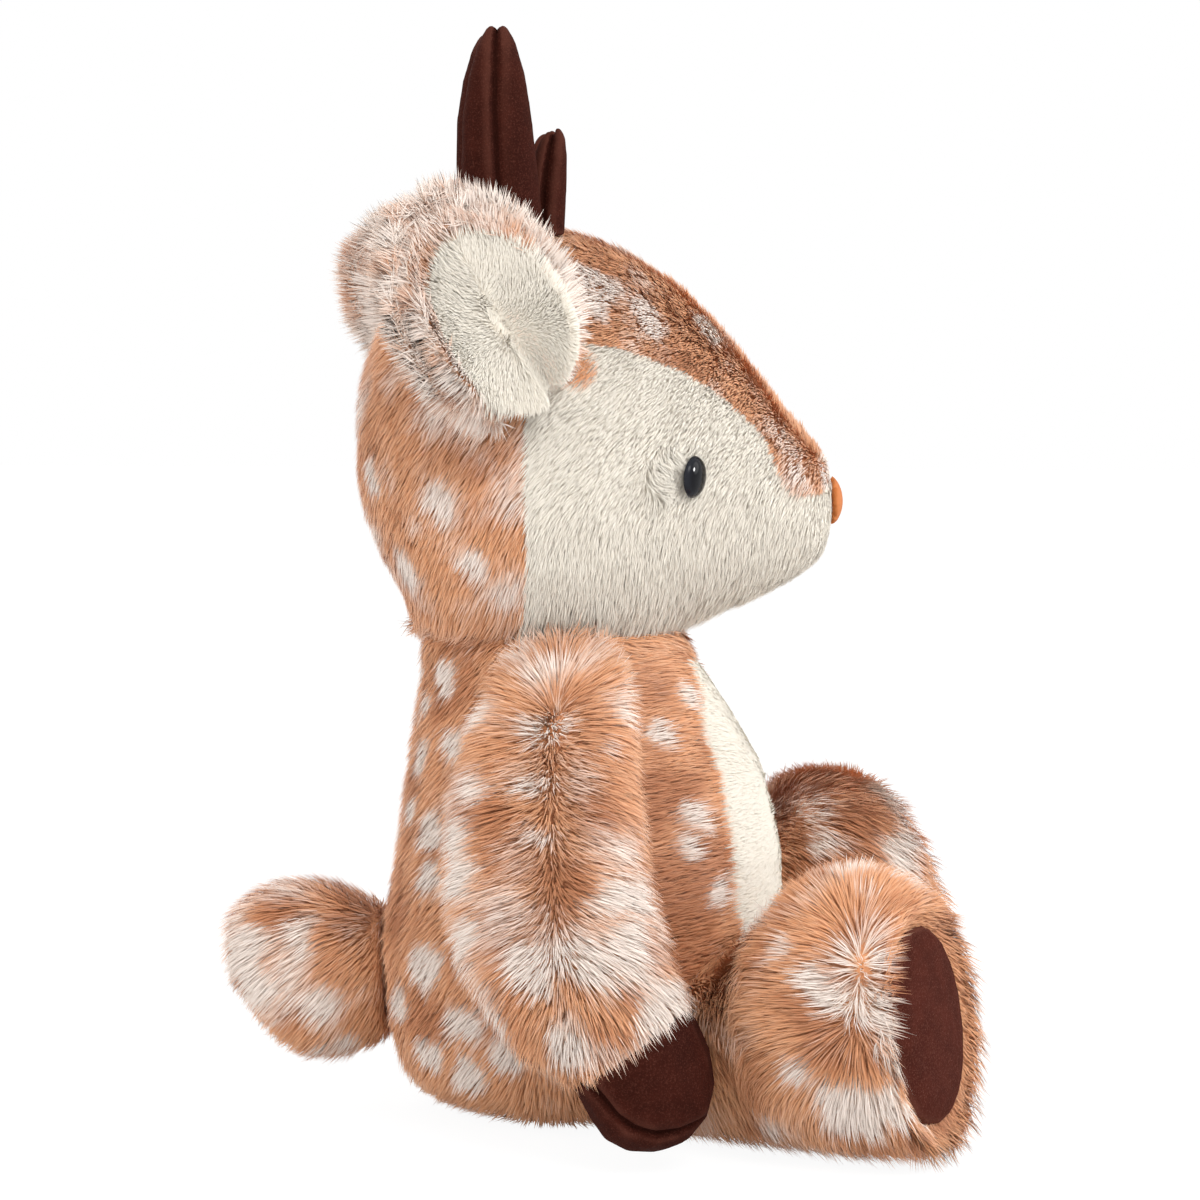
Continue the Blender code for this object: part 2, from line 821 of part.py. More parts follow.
def build_nose(parts, neck, head):
    start = Vector((0, -HEAD_LENGTH, NOSE_HEIGHT_SHARE * HEAD_HEIGHT))
    place, _, _, _ = head["surface"].ray_cast(start, Vector((0, 1, 0)))
    built = bmesh.new()
    size = Matrix.Diagonal((NOSE_WIDTH / 2, NOSE_DEPTH / 2, NOSE_HEIGHT / 2, 1))
    place = Matrix.Translation(place + Vector((0, NOSE_SINK, 0))) @ size
    bmesh.ops.create_uvsphere(built, u_segments=16, v_segments=10, radius=1, matrix=place)
    nose = mesh_object("nose", built, parts, neck, ("nose velour", AMBER, 0.7))
    cut(nose, head["form"])


def grooved(point, middle, across, width, depth):
    """Draws a point in where it lies within the width of a seam groove."""
    offset = abs((point - middle).dot(across))
    if offset > width:
        return point
    return point + (middle - point).normalized() * depth * (1 - offset / width)


def tine_mesh(name, root, length, depth, width, lean_x, lean_y):
    """A tine of suede: a leaf whose two halves meet in a groove at its sides and tip."""
    grid = []
    for along, half_depth, half_width, lean in ANTLER_SHARES:
        middle = root + Vector(
            (along * length * math.sin(lean_x), -lean * depth, along * length)
        )
        middle.y -= along * length * math.sin(lean_y)
        ring = []
        for angle in even_angles(SMALL_COLUMNS):
            x = half_width * width * math.sin(angle)
            y = -half_depth * depth * math.cos(angle)
            point = middle + Vector((x, y, 0))
            ring.append(grooved(point, middle, Vector((0, 1, 0)), GAP, ANTLER_GROOVE))
        grid.append(ring)
    return grid_mesh(name, grid)


def build_antlers(parts, cutters, neck, head):
    forward, aside, up = ANTLER_ROOT_SHARES
    suede = ("suede", SUEDE, 0.9)
    for name, side in SIDES:
        root = Vector((side * aside * HEAD_WIDTH, -forward * HEAD_LENGTH, up * HEAD_HEIGHT))
        lean = side * BRANCH_LEAN / 2
        mesh = tine_mesh("antler", root, ANTLER_LENGTH, ANTLER_DEPTH, ANTLER_WIDTH, lean, 0.0)
        antler = link_object(f"antler_{name}", mesh, parts, neck, suede)
        cut(antler, head["form"])
        ahead, inward = BRANCH_OFFSET_SHARES
        offset = Vector((side * inward * ANTLER_WIDTH, -ahead * ANTLER_DEPTH, 0))
        mesh = tine_mesh(
            "branch", root + offset, BRANCH_LENGTH, BRANCH_DEPTH, BRANCH_WIDTH, 0.0, BRANCH_LEAN
        )
        branch = link_object(f"antler_branch_{name}", mesh, parts, neck, suede)
        cut(branch, head["form"])
        mesh = tine_mesh("room", root, ANTLER_LENGTH, ANTLER_DEPTH, ANTLER_WIDTH, lean, 0.0)
        room = link_object(f"antler_room_{name}", mesh, cutters, neck)
        cut(branch, displace(as_cutter(room), GAP))


def ear_patch(name, axis, face, across, size_share, lift):
    """A leaf-shaped cloth, folded along its middle at the root and cupped at its rims."""
    built = bmesh.new()
    rows = []
    for along, half_width, fold, cup in EAR_SHARES:
        along = MIDDLE_SHARE + (along - MIDDLE_SHARE) * (size_share + 1) / 2
        row = []
        for k in range(EAR_COLUMNS + 1):
            share = 2 * k / EAR_COLUMNS - 1
            rise = (cup * share * share + fold * abs(share)) * half_width * 2 * EAR_CUP
            point = axis * along * EAR_LENGTH
            point = point + across * share * half_width * size_share * EAR_WIDTH
            row.append(built.verts.new(point + face * (rise + lift)))
        rows.append(row)
    for lower, upper in zip(rows, rows[1:]):
        for k in range(EAR_COLUMNS):
            built.faces.new((lower[k], lower[k + 1], upper[k + 1], upper[k]))
    bmesh.ops.recalc_face_normals(built, faces=built.faces)
    if sum((f.normal.dot(face) for f in built.faces)) < 0:
        bmesh.ops.reverse_faces(built, faces=built.faces)
    mesh = bpy.data.meshes.new(name)
    built.to_mesh(mesh)
    built.free()
    mesh.shade_smooth()
    return mesh


def build_ears(parts, neck, head):
    forward, aside, up = EAR_ROOT_SHARES
    leans = {"right": EAR_LEAN_RIGHT, "left": EAR_LEAN_LEFT}
    for name, side in SIDES:
        root = Vector((side * aside * HEAD_WIDTH, -forward * HEAD_LENGTH, up * HEAD_HEIGHT))
        pivot = make_empty(f"ear_pivot_{name}", parts, root, 0.0, neck)
        turn = Matrix.Rotation(-leans[name], 4, "X")
        axis = turn @ head_direction(EAR_AXIS_SHARES, side)
        face = turn @ head_direction(EAR_FACE_SHARES, side)
        face = (face - axis * face.dot(axis)).normalized()
        across = axis.cross(face).normalized()
        back = ear_patch("ear_back", axis, face, across, 1.0, 0.0)
        back = link_object(f"ear_back_{name}", back, parts, pivot, ("brown plush", BROWN, 0.95))
        lift = EAR_PILE + EAR_NEST
        front = ear_patch("ear_front", axis, face, across, EAR_FRONT_SHARE, lift)
        front = link_object(f"ear_front_{name}", front, parts, pivot, ("cream plush", CREAM, 0.95))
        solidify(back, EAR_PLUSH)
        solidify(front, EAR_PILE)
        cut(back, head["form"])
        cut(front, head["form"])


def head_direction(shares, side):
    """A direction from its forward, outward and upward shares."""
    forward, outward, upward = shares
    return Vector((side * outward, -forward, upward)).normalized()


def pressed(grid, side, place, surface):
    """Moves points that lie in the body out to its side, where the limb lies against it."""
    moved = []
    for ring in grid:
        row = []
        for point in ring:
            start = point + place
            start.x = side * BODY_WIDTH
            hit = surface.ray_cast(start, Vector((-side, 0, 0)))[0]
            least = side * (hit.x - place.x) + PRESS if hit else -BODY_WIDTH
            row.append(Vector((side * max(side * point.x, least), point.y, point.z)))
        moved.append(row)
    return moved


def build_arms(parts, cutters, surface):
    for name, side in SIDES:
        place = Vector((side * SHOULDER_SHARE * BODY_WIDTH, 0, BODY_HEIGHT))
        shoulder = make_empty(f"shoulder_{name}", parts, place)
        stations = arm_stations(side)
        angles = even_angles(LIMB_COLUMNS)
        grid = loft_grid(stations, station_places(stations), lambda station: angles)
        grid = pressed(grid, side, place, surface)
        skin = grid_mesh("arm_plush", grid, last_cap=False)
        skin = link_object(f"arm_plush_{name}", skin, parts, shoulder, ("brown plush", BROWN, 0.95))
        longer = [*stations, moved_along(stations[-1], OVERRUN)]
        inside = loft_grid(longer, station_places(longer), lambda station: angles)
        inside = pressed(inside, side, place, surface)
        filling = grid_mesh("arm_stuffing", inside)
        filling = link_object(
            f"arm_stuffing_{name}", filling, parts, shoulder, ("filling", FILLING, 1.0)
        )
        cuff = end_block(f"cuff_{name}", cutters, shoulder, stations[-1])
        solidify(skin, PLUSH)
        displace(filling, -(PLUSH + GAP))
        rings = loft_grid(
            hoof_stations(side), station_places(HOOF_SHARES), lambda station: angles
        )
        rings = [[grooved_hoof(point, ring) for point in ring] for ring in rings]
        hoof = grid_mesh("hoof", rings)
        link_object(f"hoof_{name}", hoof, parts, shoulder, ("suede", SUEDE, 0.9))
        cut_filling(filling, cuff)


def grooved_hoof(point, ring):
    middle = sum(ring, Vector()) / len(ring)
    return grooved(point, middle, Vector((1, 0, 0)), GAP, HOOF_CLEFT)


def build_legs(parts, cutters, body, floor):
    splays = {"right": LEG_SPLAY_RIGHT, "left": LEG_SPLAY_LEFT}
    lifts = {"right": LEG_LIFT_RIGHT, "left": LEG_LIFT_LEFT}
    for name, side in SIDES:
        place = Vector(
            (side * HIP_WIDTH_SHARE * BODY_WIDTH, -HIP_FORWARD_SHARE * BODY_DEPTH, 0.0)
        )
        hip = make_empty(f"hip_{name}", parts, place, side * splays[name])
        hip.rotation_euler.x = -lifts[name]
        stations = leg_stations()
        angles = even_angles(LIMB_COLUMNS)
        grid = loft_grid(stations, station_places(stations), lambda station: angles)
        skin = grid_mesh("leg_plush", grid, last_cap=False)
        skin = link_object(f"leg_plush_{name}", skin, parts, hip, ("brown plush", BROWN, 0.95))
        filling = grid_mesh("leg_stuffing", grid)
        filling = link_object(f"leg_stuffing_{name}", filling, parts, hip, ("filling", FILLING, 1.0))
        solidify(skin, PLUSH)
        displace(filling, -(PLUSH + GAP))
        pad = grid_mesh("sole_pad", pad_grid(stations[-1], angles))
        link_object(f"sole_pad_{name}", pad, parts, hip, ("suede", SUEDE, 0.9))
        sole = moved_along(stations[-1], -(PAD_SINK + GAP))
        cut(skin, body)
        cut_filling(filling, body)
        cut_filling(filling, end_block(f"sole_{name}", cutters, hip, sole))
        cut(skin, floor)


def pad_grid(rim, angles):
    """The sole's pad: a low dome inside the open end of the leg, a little behind its rim."""
    inside = PLUSH + LOOSE_GAP
    grid = []
    for along, size in PAD_SHARES:
        forward, height, tilt, half_depth, half_width, _ = moved_along(
            rim, along * PAD_DOME - PAD_SINK
        )
        depth = size * (half_depth - inside)
        width = size * (half_width - inside)
        station = (forward, height, tilt, depth, width, 0.0)
        grid.append([ring_point(station, angle) for angle in angles])
    return grid


def build_tail(parts, body):
    place = Vector((0, -TAIL_ROOT_SHARE * BODY_DEPTH, TAIL_LIFT_SHARE * BODY_HEIGHT))
    root = make_empty("tail_root", parts, place)
    stations = tail_stations()
    angles = even_angles(LIMB_COLUMNS)
    grid = loft_grid(stations, station_places(stations), lambda station: angles)
    skin = grid_mesh("tail_plush", grid[1:], first_cap=False)
    skin = link_object("tail_plush", skin, parts, root, ("brown plush", BROWN, 0.95))
    filling = grid_mesh("tail_stuffing", grid)
    filling = link_object("tail_stuffing", filling, parts, root, ("filling", FILLING, 1.0))
    solidify(skin, PLUSH)
    displace(filling, -(PLUSH + GAP))
    cut(skin, body)
    cut_filling(filling, body)


def main():
    clear_scene()
    parts = make_collection("plush_deer")
    cutters = make_collection("cutters")
    body, floor, body_surface = build_body(parts, cutters)
    middle = Vector((0, -NECK_MIDDLE_SHARE * BODY_DEPTH, BODY_HEIGHT))
    neck = make_empty("neck", parts, middle, HEAD_TURN)
    head = build_head(parts, cutters, neck)
    build_eyes(parts, cutters, neck, head)
    build_nose(parts, neck, head)
    build_antlers(parts, cutters, neck, head)
    build_ears(parts, neck, head)
    build_arms(parts, cutters, body_surface)
    build_legs(parts, cutters, body, floor)
    build_tail(parts, body)


main()
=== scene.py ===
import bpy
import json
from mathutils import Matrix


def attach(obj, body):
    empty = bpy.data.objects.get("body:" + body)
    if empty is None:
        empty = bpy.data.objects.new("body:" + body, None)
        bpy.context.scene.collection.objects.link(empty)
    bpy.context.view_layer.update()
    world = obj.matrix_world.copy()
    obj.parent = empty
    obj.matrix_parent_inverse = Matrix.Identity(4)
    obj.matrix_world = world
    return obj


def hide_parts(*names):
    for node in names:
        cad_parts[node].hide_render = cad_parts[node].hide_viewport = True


bl_info = {
    "name": "Plush Deer",
    "version": (1, 0, 0),
    "blender": (4, 5, 0),
    "location": "View3D > Sidebar > Plush Deer",
    "description": "Sitting plush deer with combed fur, suede antlers and hooves, and glossy eyes",
    "category": "Object",
}

import json
import math

import bmesh
import bpy
import numpy as np
from bpy.props import FloatProperty, FloatVectorProperty, IntProperty, PointerProperty
from mathutils import Matrix, Vector, noise
from mathutils.bvhtree import BVHTree

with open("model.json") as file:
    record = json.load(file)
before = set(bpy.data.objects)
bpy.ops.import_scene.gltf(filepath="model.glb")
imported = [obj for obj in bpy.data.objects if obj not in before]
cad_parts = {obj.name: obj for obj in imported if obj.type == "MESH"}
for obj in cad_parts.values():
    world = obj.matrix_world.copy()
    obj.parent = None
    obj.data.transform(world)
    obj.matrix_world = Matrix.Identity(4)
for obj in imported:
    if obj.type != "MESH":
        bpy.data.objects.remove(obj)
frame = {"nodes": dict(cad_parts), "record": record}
NODES = frame["nodes"]
SIDES = (("right", -1), ("left", 1))
MM = 0.001
EYE_TURN = math.radians(30)
NOSE_PUFF = 0.0015
WHITE = (1.0, 1.0, 1.0)
LEAST_SHADE = (0.93, 0.925, 0.92)

# What only the strands need from their skin.
FUR_ONLY = ("comb", "lean", "fur", "dense", "out", "shine")

# Strands that another piece lies on are short and flat.
PRESSED_PILE = 0.0045
PRESSED_LEAN = math.radians(82)

# The cloth lies in by this share of its pile's height. At a seam its colours meet over a strip that is
# twice the half width, and only a share of the strands grows where nothing is seen.
CLOTH_DEPTH = 0.95
SEAM_HALF_WIDTH = 0.0015
HIDDEN_SHARE_LOST = 0.6

# The pile that the strands per mm² are set for; shorter pile is denser. The sizes of the pale drifts and of
# the dark blotches in brown fur.
DENSITY_PILE = 0.0085
DRIFT_SIZE = 0.012
BLOTCH_SIZE = 0.016

# A cloth moves in by this share of the way to its other side at most, looked for up to this far.
SHARE_OF_WAY = 0.4
THICKEST = 0.04

STRAND = ((-0.5, 0, 0), (0.5, 0, 0), (-0.42, 0.13, 0.5), (0.42, 0.13, 0.5), (0, 0, 1))
FUR_BOTTOM = 0.0002

# A safety eye: the share of its shank's radius left between the ribs, the ribs, and the dome's lip.
RIB_GROOVE = 0.86
RIBS = 5
EYE_LIP = 0.0005

# The voxel size that the suede's marks of ridges and hollows are set for; they carry its painted highlights
# on ridges and painted shade in hollows.
RIDGE_VOXEL = 0.0011

# Spots in the fur, by the group of cloth they lie on: the middle and the radius in mm, and how strong
# the spot is, from 0 to 1.
WHITE_SPOTS = {
    "head": (
        (-32, -9, 251, 9, 1), (-33, -2, 247, 8, 0.8), (-28, -26, 241, 6, 1), (-9, -42, 237, 6, 1),
        (-51, 34, 190, 7, 0.7), (-35, 57, 197, 5, 0.9), (-35, 48, 170, 7, 0.9), (-50, 26, 172, 6, 0.8),
        (-45, 15, 161, 7, 0.6), (-12, 62, 215, 7, 0.9), (4, 66, 190, 6, 0.9), (12, 57, 232, 6, 0.8),
        (28, -8, 251, 8, 1), (26, -27, 241, 6, 0.9), (50, 32, 190, 7, 0.8), (36, 56, 200, 6, 0.9),
        (34, 50, 171, 7, 0.8), (48, 26, 176, 6, 0.7), (0, 45, 246, 7, 0.9), (-16, 58, 180, 6, 0.8),
        (20, 60, 176, 6, 0.8), (8, -20, 252, 6, 0.8), (-4, 20, 262, 7, 0.8), (18, 30, 255, 6, 0.8),
        (2, -76, 193, 6, 1), (-14, -52, 229, 5, 0.6), (10, -48, 233, 5, 0.6),
    ),
    "arm_right": (
        (-72, 4, 127, 6, 0.8), (-80, 3, 113, 5, 0.7), (-87, 4, 97, 6, 0.6), (-98, 3, 63, 7, 1),
        (-98, -8, 65, 7, 1), (-94, -19, 68, 7, 1), (-87, -18, 82, 6, 1), (-82, -24, 83, 6, 1),
        (-91, -11, 82, 4, 0.7), (-79, 27, 97, 7, 0.9), (-85, 25, 86, 7, 0.9), (-76, 21, 112, 6, 0.8),
        (-58, 21, 131, 6, 0.7), (-60, -16, 132, 6, 0.8), (-71, -12, 123, 4, 0.6), (-90, -34, 55, 7, 1),
        (-96, -31, 51, 7, 1), (-101, -8, 42, 7, 0.9), (-99, -2, 38, 6, 0.9), (-89, 23, 70, 6, 0.8),
        (-43, 1, 147, 6, 0.4), (-58, -20, 106, 6, 0.8), (-62, 28, 88, 7, 0.7), (-92, 20, 44, 7, 0.8),
    ),
    "arm_left": (
        (74, 2, 125, 6, 0.8), (82, 5, 110, 6, 0.7), (90, 0, 96, 5, 0.6), (99, -4, 66, 7, 1),
        (96, -14, 64, 7, 1), (98, 8, 62, 6, 0.9), (86, -20, 84, 7, 1), (78, 27, 100, 7, 0.9),
        (84, 26, 84, 7, 0.9), (76, 20, 114, 6, 0.8), (60, 20, 131, 6, 0.7), (61, -16, 131, 6, 0.8),
        (92, -33, 55, 7, 1), (98, -29, 50, 7, 1), (102, -6, 41, 8, 0.9), (90, 22, 66, 6, 0.8),
        (58, -20, 108, 6, 0.8), (92, 20, 42, 7, 0.8), (62, 28, 90, 7, 0.7),
    ),
    "body": (
        (-27, 35, 137, 5, 1), (-19, 44, 127, 3.5, 0.9), (-22, 45, 112, 5.5, 1), (-33, 33, 119, 5, 1),
        (-34, 40, 91, 6, 1), (-20, 48, 97, 4, 0.9), (-37, 40, 79, 5, 1), (-42, 40, 52, 6, 1),
        (-28, 51, 39, 5.5, 1), (-49, 29, 36, 6.5, 1), (-39, 41, 26, 5.5, 1), (-48, 27, 20, 5.5, 0.9),
        (-23, -34, 130, 4, 0.9), (-36, -26, 119, 5, 0.9), (-41, -37, 94, 5.5, 0.9), (-45, -34, 85, 4, 0.8),
        (-41, -43, 71, 5, 0.8), (-54, 16, 28, 6, 0.9), (-53, 10, 60, 6, 0.9), (-50, 12, 90, 6, 0.9),
        (27, 35, 136, 5, 1), (18, 46, 122, 5, 0.9), (33, 36, 112, 5.5, 1), (30, 43, 92, 6, 1),
        (40, 38, 74, 6, 1), (42, 40, 50, 6, 1), (28, 50, 36, 6, 1), (49, 29, 34, 6.5, 1),
        (48, 27, 18, 5.5, 0.9), (23, -34, 130, 4, 0.9), (36, -26, 117, 5, 0.9), (41, -37, 92, 5.5, 0.9),
        (44, -36, 80, 5, 0.8), (-4, 46, 134, 5.5, 1), (4, 51, 112, 5.5, 1), (-6, 52, 88, 5, 0.9),
        (52, 12, 62, 6, 0.9), (50, 12, 92, 6, 0.9), (55, 8, 30, 6, 0.9), (0, -38, 139, 5, 0.5),
    ),
    "leg_right": (
        (-93, -76, 58, 5, 1), (-97, -84, 54, 6, 1), (-99, -93, 49, 6, 1), (-95, -97, 40, 6, 0.9),
        (-95, -84, 23, 9, 0.9), (-99, -96, 27, 7, 0.9), (-68, -85, 85, 6, 0.8), (-80, -88, 80, 5, 0.6),
        (-85, -66, 66, 5, 0.6), (-92, -70, 33, 5, 0.8), (-77, -58, 14, 6, 0.6), (-93, -88, 66, 6, 0.7),
        (-58, -95, 78, 7, 0.9), (-52, -84, 60, 7, 0.8), (-54, -98, 40, 6, 0.8), (-66, -60, 72, 6, 0.9),
        (-96, -80, 10, 6, 0.7),
    ),
    "leg_left": (
        (54, -94, 91, 8, 0.9), (38, -68, 87, 7, 0.8), (30, -73, 78, 6, 0.8), (37, -97, 75, 8, 0.9),
        (44, -100, 84, 6, 0.7), (34, -92, 50, 7, 0.9), (82, -70, 66, 8, 0.9), (94, -84, 50, 7, 1),
        (88, -70, 30, 8, 1), (76, -84, 88, 7, 0.9), (60, -78, 90, 5, 0.8), (40, -76, 30, 7, 0.8),
        (70, -58, 50, 7, 0.8),
    ),
    "ear_right": (
        (-78, 44, 262, 8, 0.9), (-86, 38, 252, 6, 0.7), (-86, 40, 236, 6, 0.8), (-74, 24, 272, 7, 0.7),
        (-80, 34, 222, 7, 0.9), (-74, 20, 212, 6, 0.8), (-66, 8, 272, 7, 0.8), (-60, 44, 250, 8, 0.7),
        (-56, 40, 230, 7, 0.7), (-80, 2, 262, 6, 0.6),
    ),
    "tail": (
        (-16, 98, 49, 10, 1), (0, 106, 44, 9, 1), (12, 102, 50, 8, 0.9), (-18, 94, 39, 8, 0.9),
        (-20, 79, 56, 7, 0.8), (-22, 73, 35, 8, 0.8), (0, 84, 76, 7, 0.9), (16, 76, 66, 7, 0.9),
        (18, 90, 36, 7, 0.9), (-12, 70, 24, 7, 0.9), (2, 96, 22, 7, 0.8),
    ),
}
WHITE_SPOTS["ear_left"] = tuple((-x, *rest) for x, *rest in WHITE_SPOTS["ear_right"])
DARK_SPOTS = {
    "head": (
        (0, 50, 230, 14, 0.4), (-40, 44, 182, 9, 0.4), (14, 56, 196, 12, 0.4),
    ),
    "arm_right": (
        (-92, -1, 85, 9, 0.9), (-94, 10, 72, 7, 0.8), (-101, -16, 45, 8, 0.8), (-83, -10, 103, 8, 0.8),
        (-83, 14, 105, 8, 0.7), (-66, -1, 133, 7, 0.4), (-97, -20, 58, 6, 0.8), (-94, 14, 51, 8, 0.6),
        (-87, -25, 73, 6, 0.6),
    ),
    "arm_left": (
        (92, -1, 85, 9, 0.9), (94, 10, 74, 7, 0.8), (101, -16, 45, 8, 0.8), (83, -10, 103, 8, 0.8),
        (83, 14, 105, 8, 0.7), (94, 14, 52, 8, 0.6),
    ),
    # On the body's front sides, beside the arms, these spots are partly rust patches and partly painted shade
    # where the arms shade the body.
    "body": (
        (-30, 42, 66, 9, 0.5), (20, 46, 70, 10, 0.5), (0, 50, 124, 9, 0.4), (-43, -25, 101, 12, 0.9),
        (-48, -29, 72, 15, 1), (-48, -35, 52, 14, 1), (-31, -23, 131, 9, 0.6), (-40, -36, 80, 14, 0.9),
        (43, -25, 101, 12, 0.9), (48, -29, 72, 13, 0.9), (48, -35, 52, 12, 0.9),
    ),
    "leg_right": (
        (-96, -80, 42, 8, 0.9), (-89, -71, 64, 6, 0.3), (-82, -53, 32, 10, 0.8), (-62, -75, 83, 9, 0.7),
        (-60, -52, 40, 12, 0.7),
    ),
    "leg_left": (
        (36, -83, 85, 10, 0.9), (27, -69, 70, 10, 0.9), (30, -80, 77, 7, 0.7), (90, -78, 40, 9, 0.8),
        (66, -70, 84, 9, 0.6),
    ),
    "tail": (
        (-13, 86, 64, 9, 0.7), (-19, 86, 30, 6, 0.6), (-10, 64, 60, 8, 0.7), (6, 92, 62, 10, 0.6),
        (0, 74, 40, 10, 0.5),
    ),
}
WARM_SPOTS = {"head": ((-44, -3, 228, 7, 1), (44, -3, 228, 7, 1))}

# The seam on a hoof, as y and z in mm, from under the fur to the tip.
HOOF_SEAM = ((-2, 37), (-11, 28), (-15, 24), (-19, 19), (-24, 15.5), (-30, 13.5), (-37, 14), (-46, 17))

# How pale each kind of cloth's fur is between its spots.
PALENESS = {"head": 0.19, "body": 0.0, "tail": 0.22, "arm": 0.26, "leg": 0.12, "ear": 0.56}

# The place that the face's fur runs away from.
MUZZLE = (0.004, -0.078, 0.184)

# The parting on an arm's outer line: heights, and y at each.
ARM_PARTING = ((0.03, 0.074, 0.126, 0.15), (-0.002, -0.001, 0.002, 0.0))

# The roll in an ear, on the ear's plan from -1 to 1: its middle and its half sizes, along and across.
ROLL_MIDDLE = (-0.22, -0.08)
ROLL_SIZE = (0.78, 0.62)

# The rings of the roll's mesh and the steps round each, the parts its edge is measured in, and its forms in
# metres: how high it puffs, how far its edge sinks, how deep it is, and how deep its fold.
ROLL_RINGS = 16
ROLL_STEPS = 56
ROLL_SECTORS = 16
ROLL_PUFF = 0.0036
ROLL_SINK = 0.0012
ROLL_DEPTH = 0.012
FOLD_DEPTH = 0.008

# Each lamp's name, place, size in metres and power in watts. Only gloss shows the spark, which makes the
# eye's catchlight.
LAMPS = (
    ("key", (-1.25, -0.75, 1.35), 0.9, 20.0),
    ("fill", (-0.9, 1.2, 0.7), 1.2, 7.0),
    ("front", (0.1, -1.6, 0.8), 1.2, 8.0),
    ("back", (1.2, 0.6, 1.2), 1.0, 10.0),
    ("spark", (-0.22, -1.56, 0.67), 0.3, 26.0),
)

# The photo's camera: its lens in mm, and its place round its target.
LENS = 113.85
TARGET = (0, -0.0076, 0.155)
AZIMUTH, ELEVATION, DISTANCE = math.radians(-86.0), math.radians(5.7), 1.15


def length_setting(name, description, default, low=0.001, precision=2):
    """A setting in metres."""
    return FloatProperty(
        name=name, description=description, default=default, min=low, unit="LENGTH", precision=precision
    )


def colour_setting(name, description, default):
    """A setting that is a colour."""
    return FloatVectorProperty(
        name=name, description=description, default=default, min=0, max=1, subtype="COLOR"
    )


class PlushSettings(bpy.types.PropertyGroup):
    """Sizes of the fur and of the forms under it."""

    pile_limb: length_setting("Limb pile", "Length of a strand on the arms, legs and tail", 0.0095)
    pile_body: length_setting("Body pile", "Length of a strand on the body and the back of the head", 0.0075)
    pile_face: length_setting("Face pile", "Length of a strand on the cream face", 0.005)
    pile_ear: length_setting("Ear pile", "Length of a strand inside the ears", 0.0045)
    pile_tummy: length_setting("Tummy pile", "Length of a strand on the tummy", 0.0022, 0.0005)
    strand_width: length_setting("Strand width", "Width of a strand at its root", 0.0003, 0.0001, 5)
    clump_size: length_setting("Tuft size", "Distance between the tufts that the strands gather in", 0.0036)
    share_of_strands: FloatProperty(
        name="Strands", description="Share of the strands that are made", default=0.64, min=0.05, max=1.0,
        subtype="FACTOR",
    )
    seed: IntProperty(name="Seed", description="Seed of the strands' places", default=7, min=0)


class PlushColours(bpy.types.PropertyGroup):
    """Colours of the cloths and the hard pieces."""

    brown_tip: colour_setting("Brown fur", "Middle of a brown strand", (0.76, 0.36, 0.175))
    brown_root: colour_setting(
        "Brown roots", "Root of a brown strand and the cloth under it", (0.55, 0.215, 0.09)
    )
    # Colour of the darker patches: rust in the fur, and painted shade on the body beside the arms.
    rust_and_shade: colour_setting("Rust", "Darker patches in the brown fur", (0.47, 0.165, 0.068))
    white: colour_setting("White spots", "Tips of the strands in the white spots", (0.90, 0.79, 0.71))
    frosting: colour_setting("Frosting", "Pale outer end of a brown strand", (0.89, 0.61, 0.43))
    cream_tip: colour_setting("Cream tips", "Outer end of a cream strand", (0.875, 0.82, 0.72))
    cream_root: colour_setting(
        "Cream roots", "Root of a cream strand and the cloth under it", (0.86, 0.79, 0.68)
    )
    suede: colour_setting("Suede", "Antlers, hooves and sole pads", (0.042, 0.0085, 0.005))
    nose: colour_setting("Nose", "Velour of the nose", (0.37, 0.065, 0.010))
    eye: colour_setting("Eye", "Moulded eye", (0.006, 0.006, 0.008))


def plush():
    """The sizes that are set."""
    return bpy.context.scene.deer_plush


def colours():
    """The colours that are set."""
    return bpy.context.scene.deer_colours


# ---------------------------------------------------------------- node trees


def both_ways(operation):
    """A sum's two methods: with the term first, and with it last."""

    def first(self, other):
        return self.maths(operation, self, other)

    def last(self, other):
        return self.maths(operation, other, self)

    return first, last


class Term:
    """A node's output that can be used in a sum."""

    __add__, __radd__ = both_ways("ADD")
    __sub__, __rsub__ = both_ways("SUBTRACT")
    __mul__, __rmul__ = both_ways("MULTIPLY")
    __truediv__, __rtruediv__ = both_ways("DIVIDE")

    def __init__(self, graph, socket):
        self.graph = graph
        self.socket = socket

    def out(self, name):
        """Another output of the same node."""
        return Term(self.graph, self.socket.node.outputs[name])

    def maths(self, operation, *values):
        return self.graph.add("ShaderNodeMath", {"operation": operation}, dict(enumerate(values)))

    def ramp(self, low, high):
        """0 up to low, 1 from high, and a soft step between."""
        return self.graph.add(
            "ShaderNodeMapRange", {"interpolation_type": "SMOOTHSTEP"}, {0: self, 1: low, 2: high}
        )


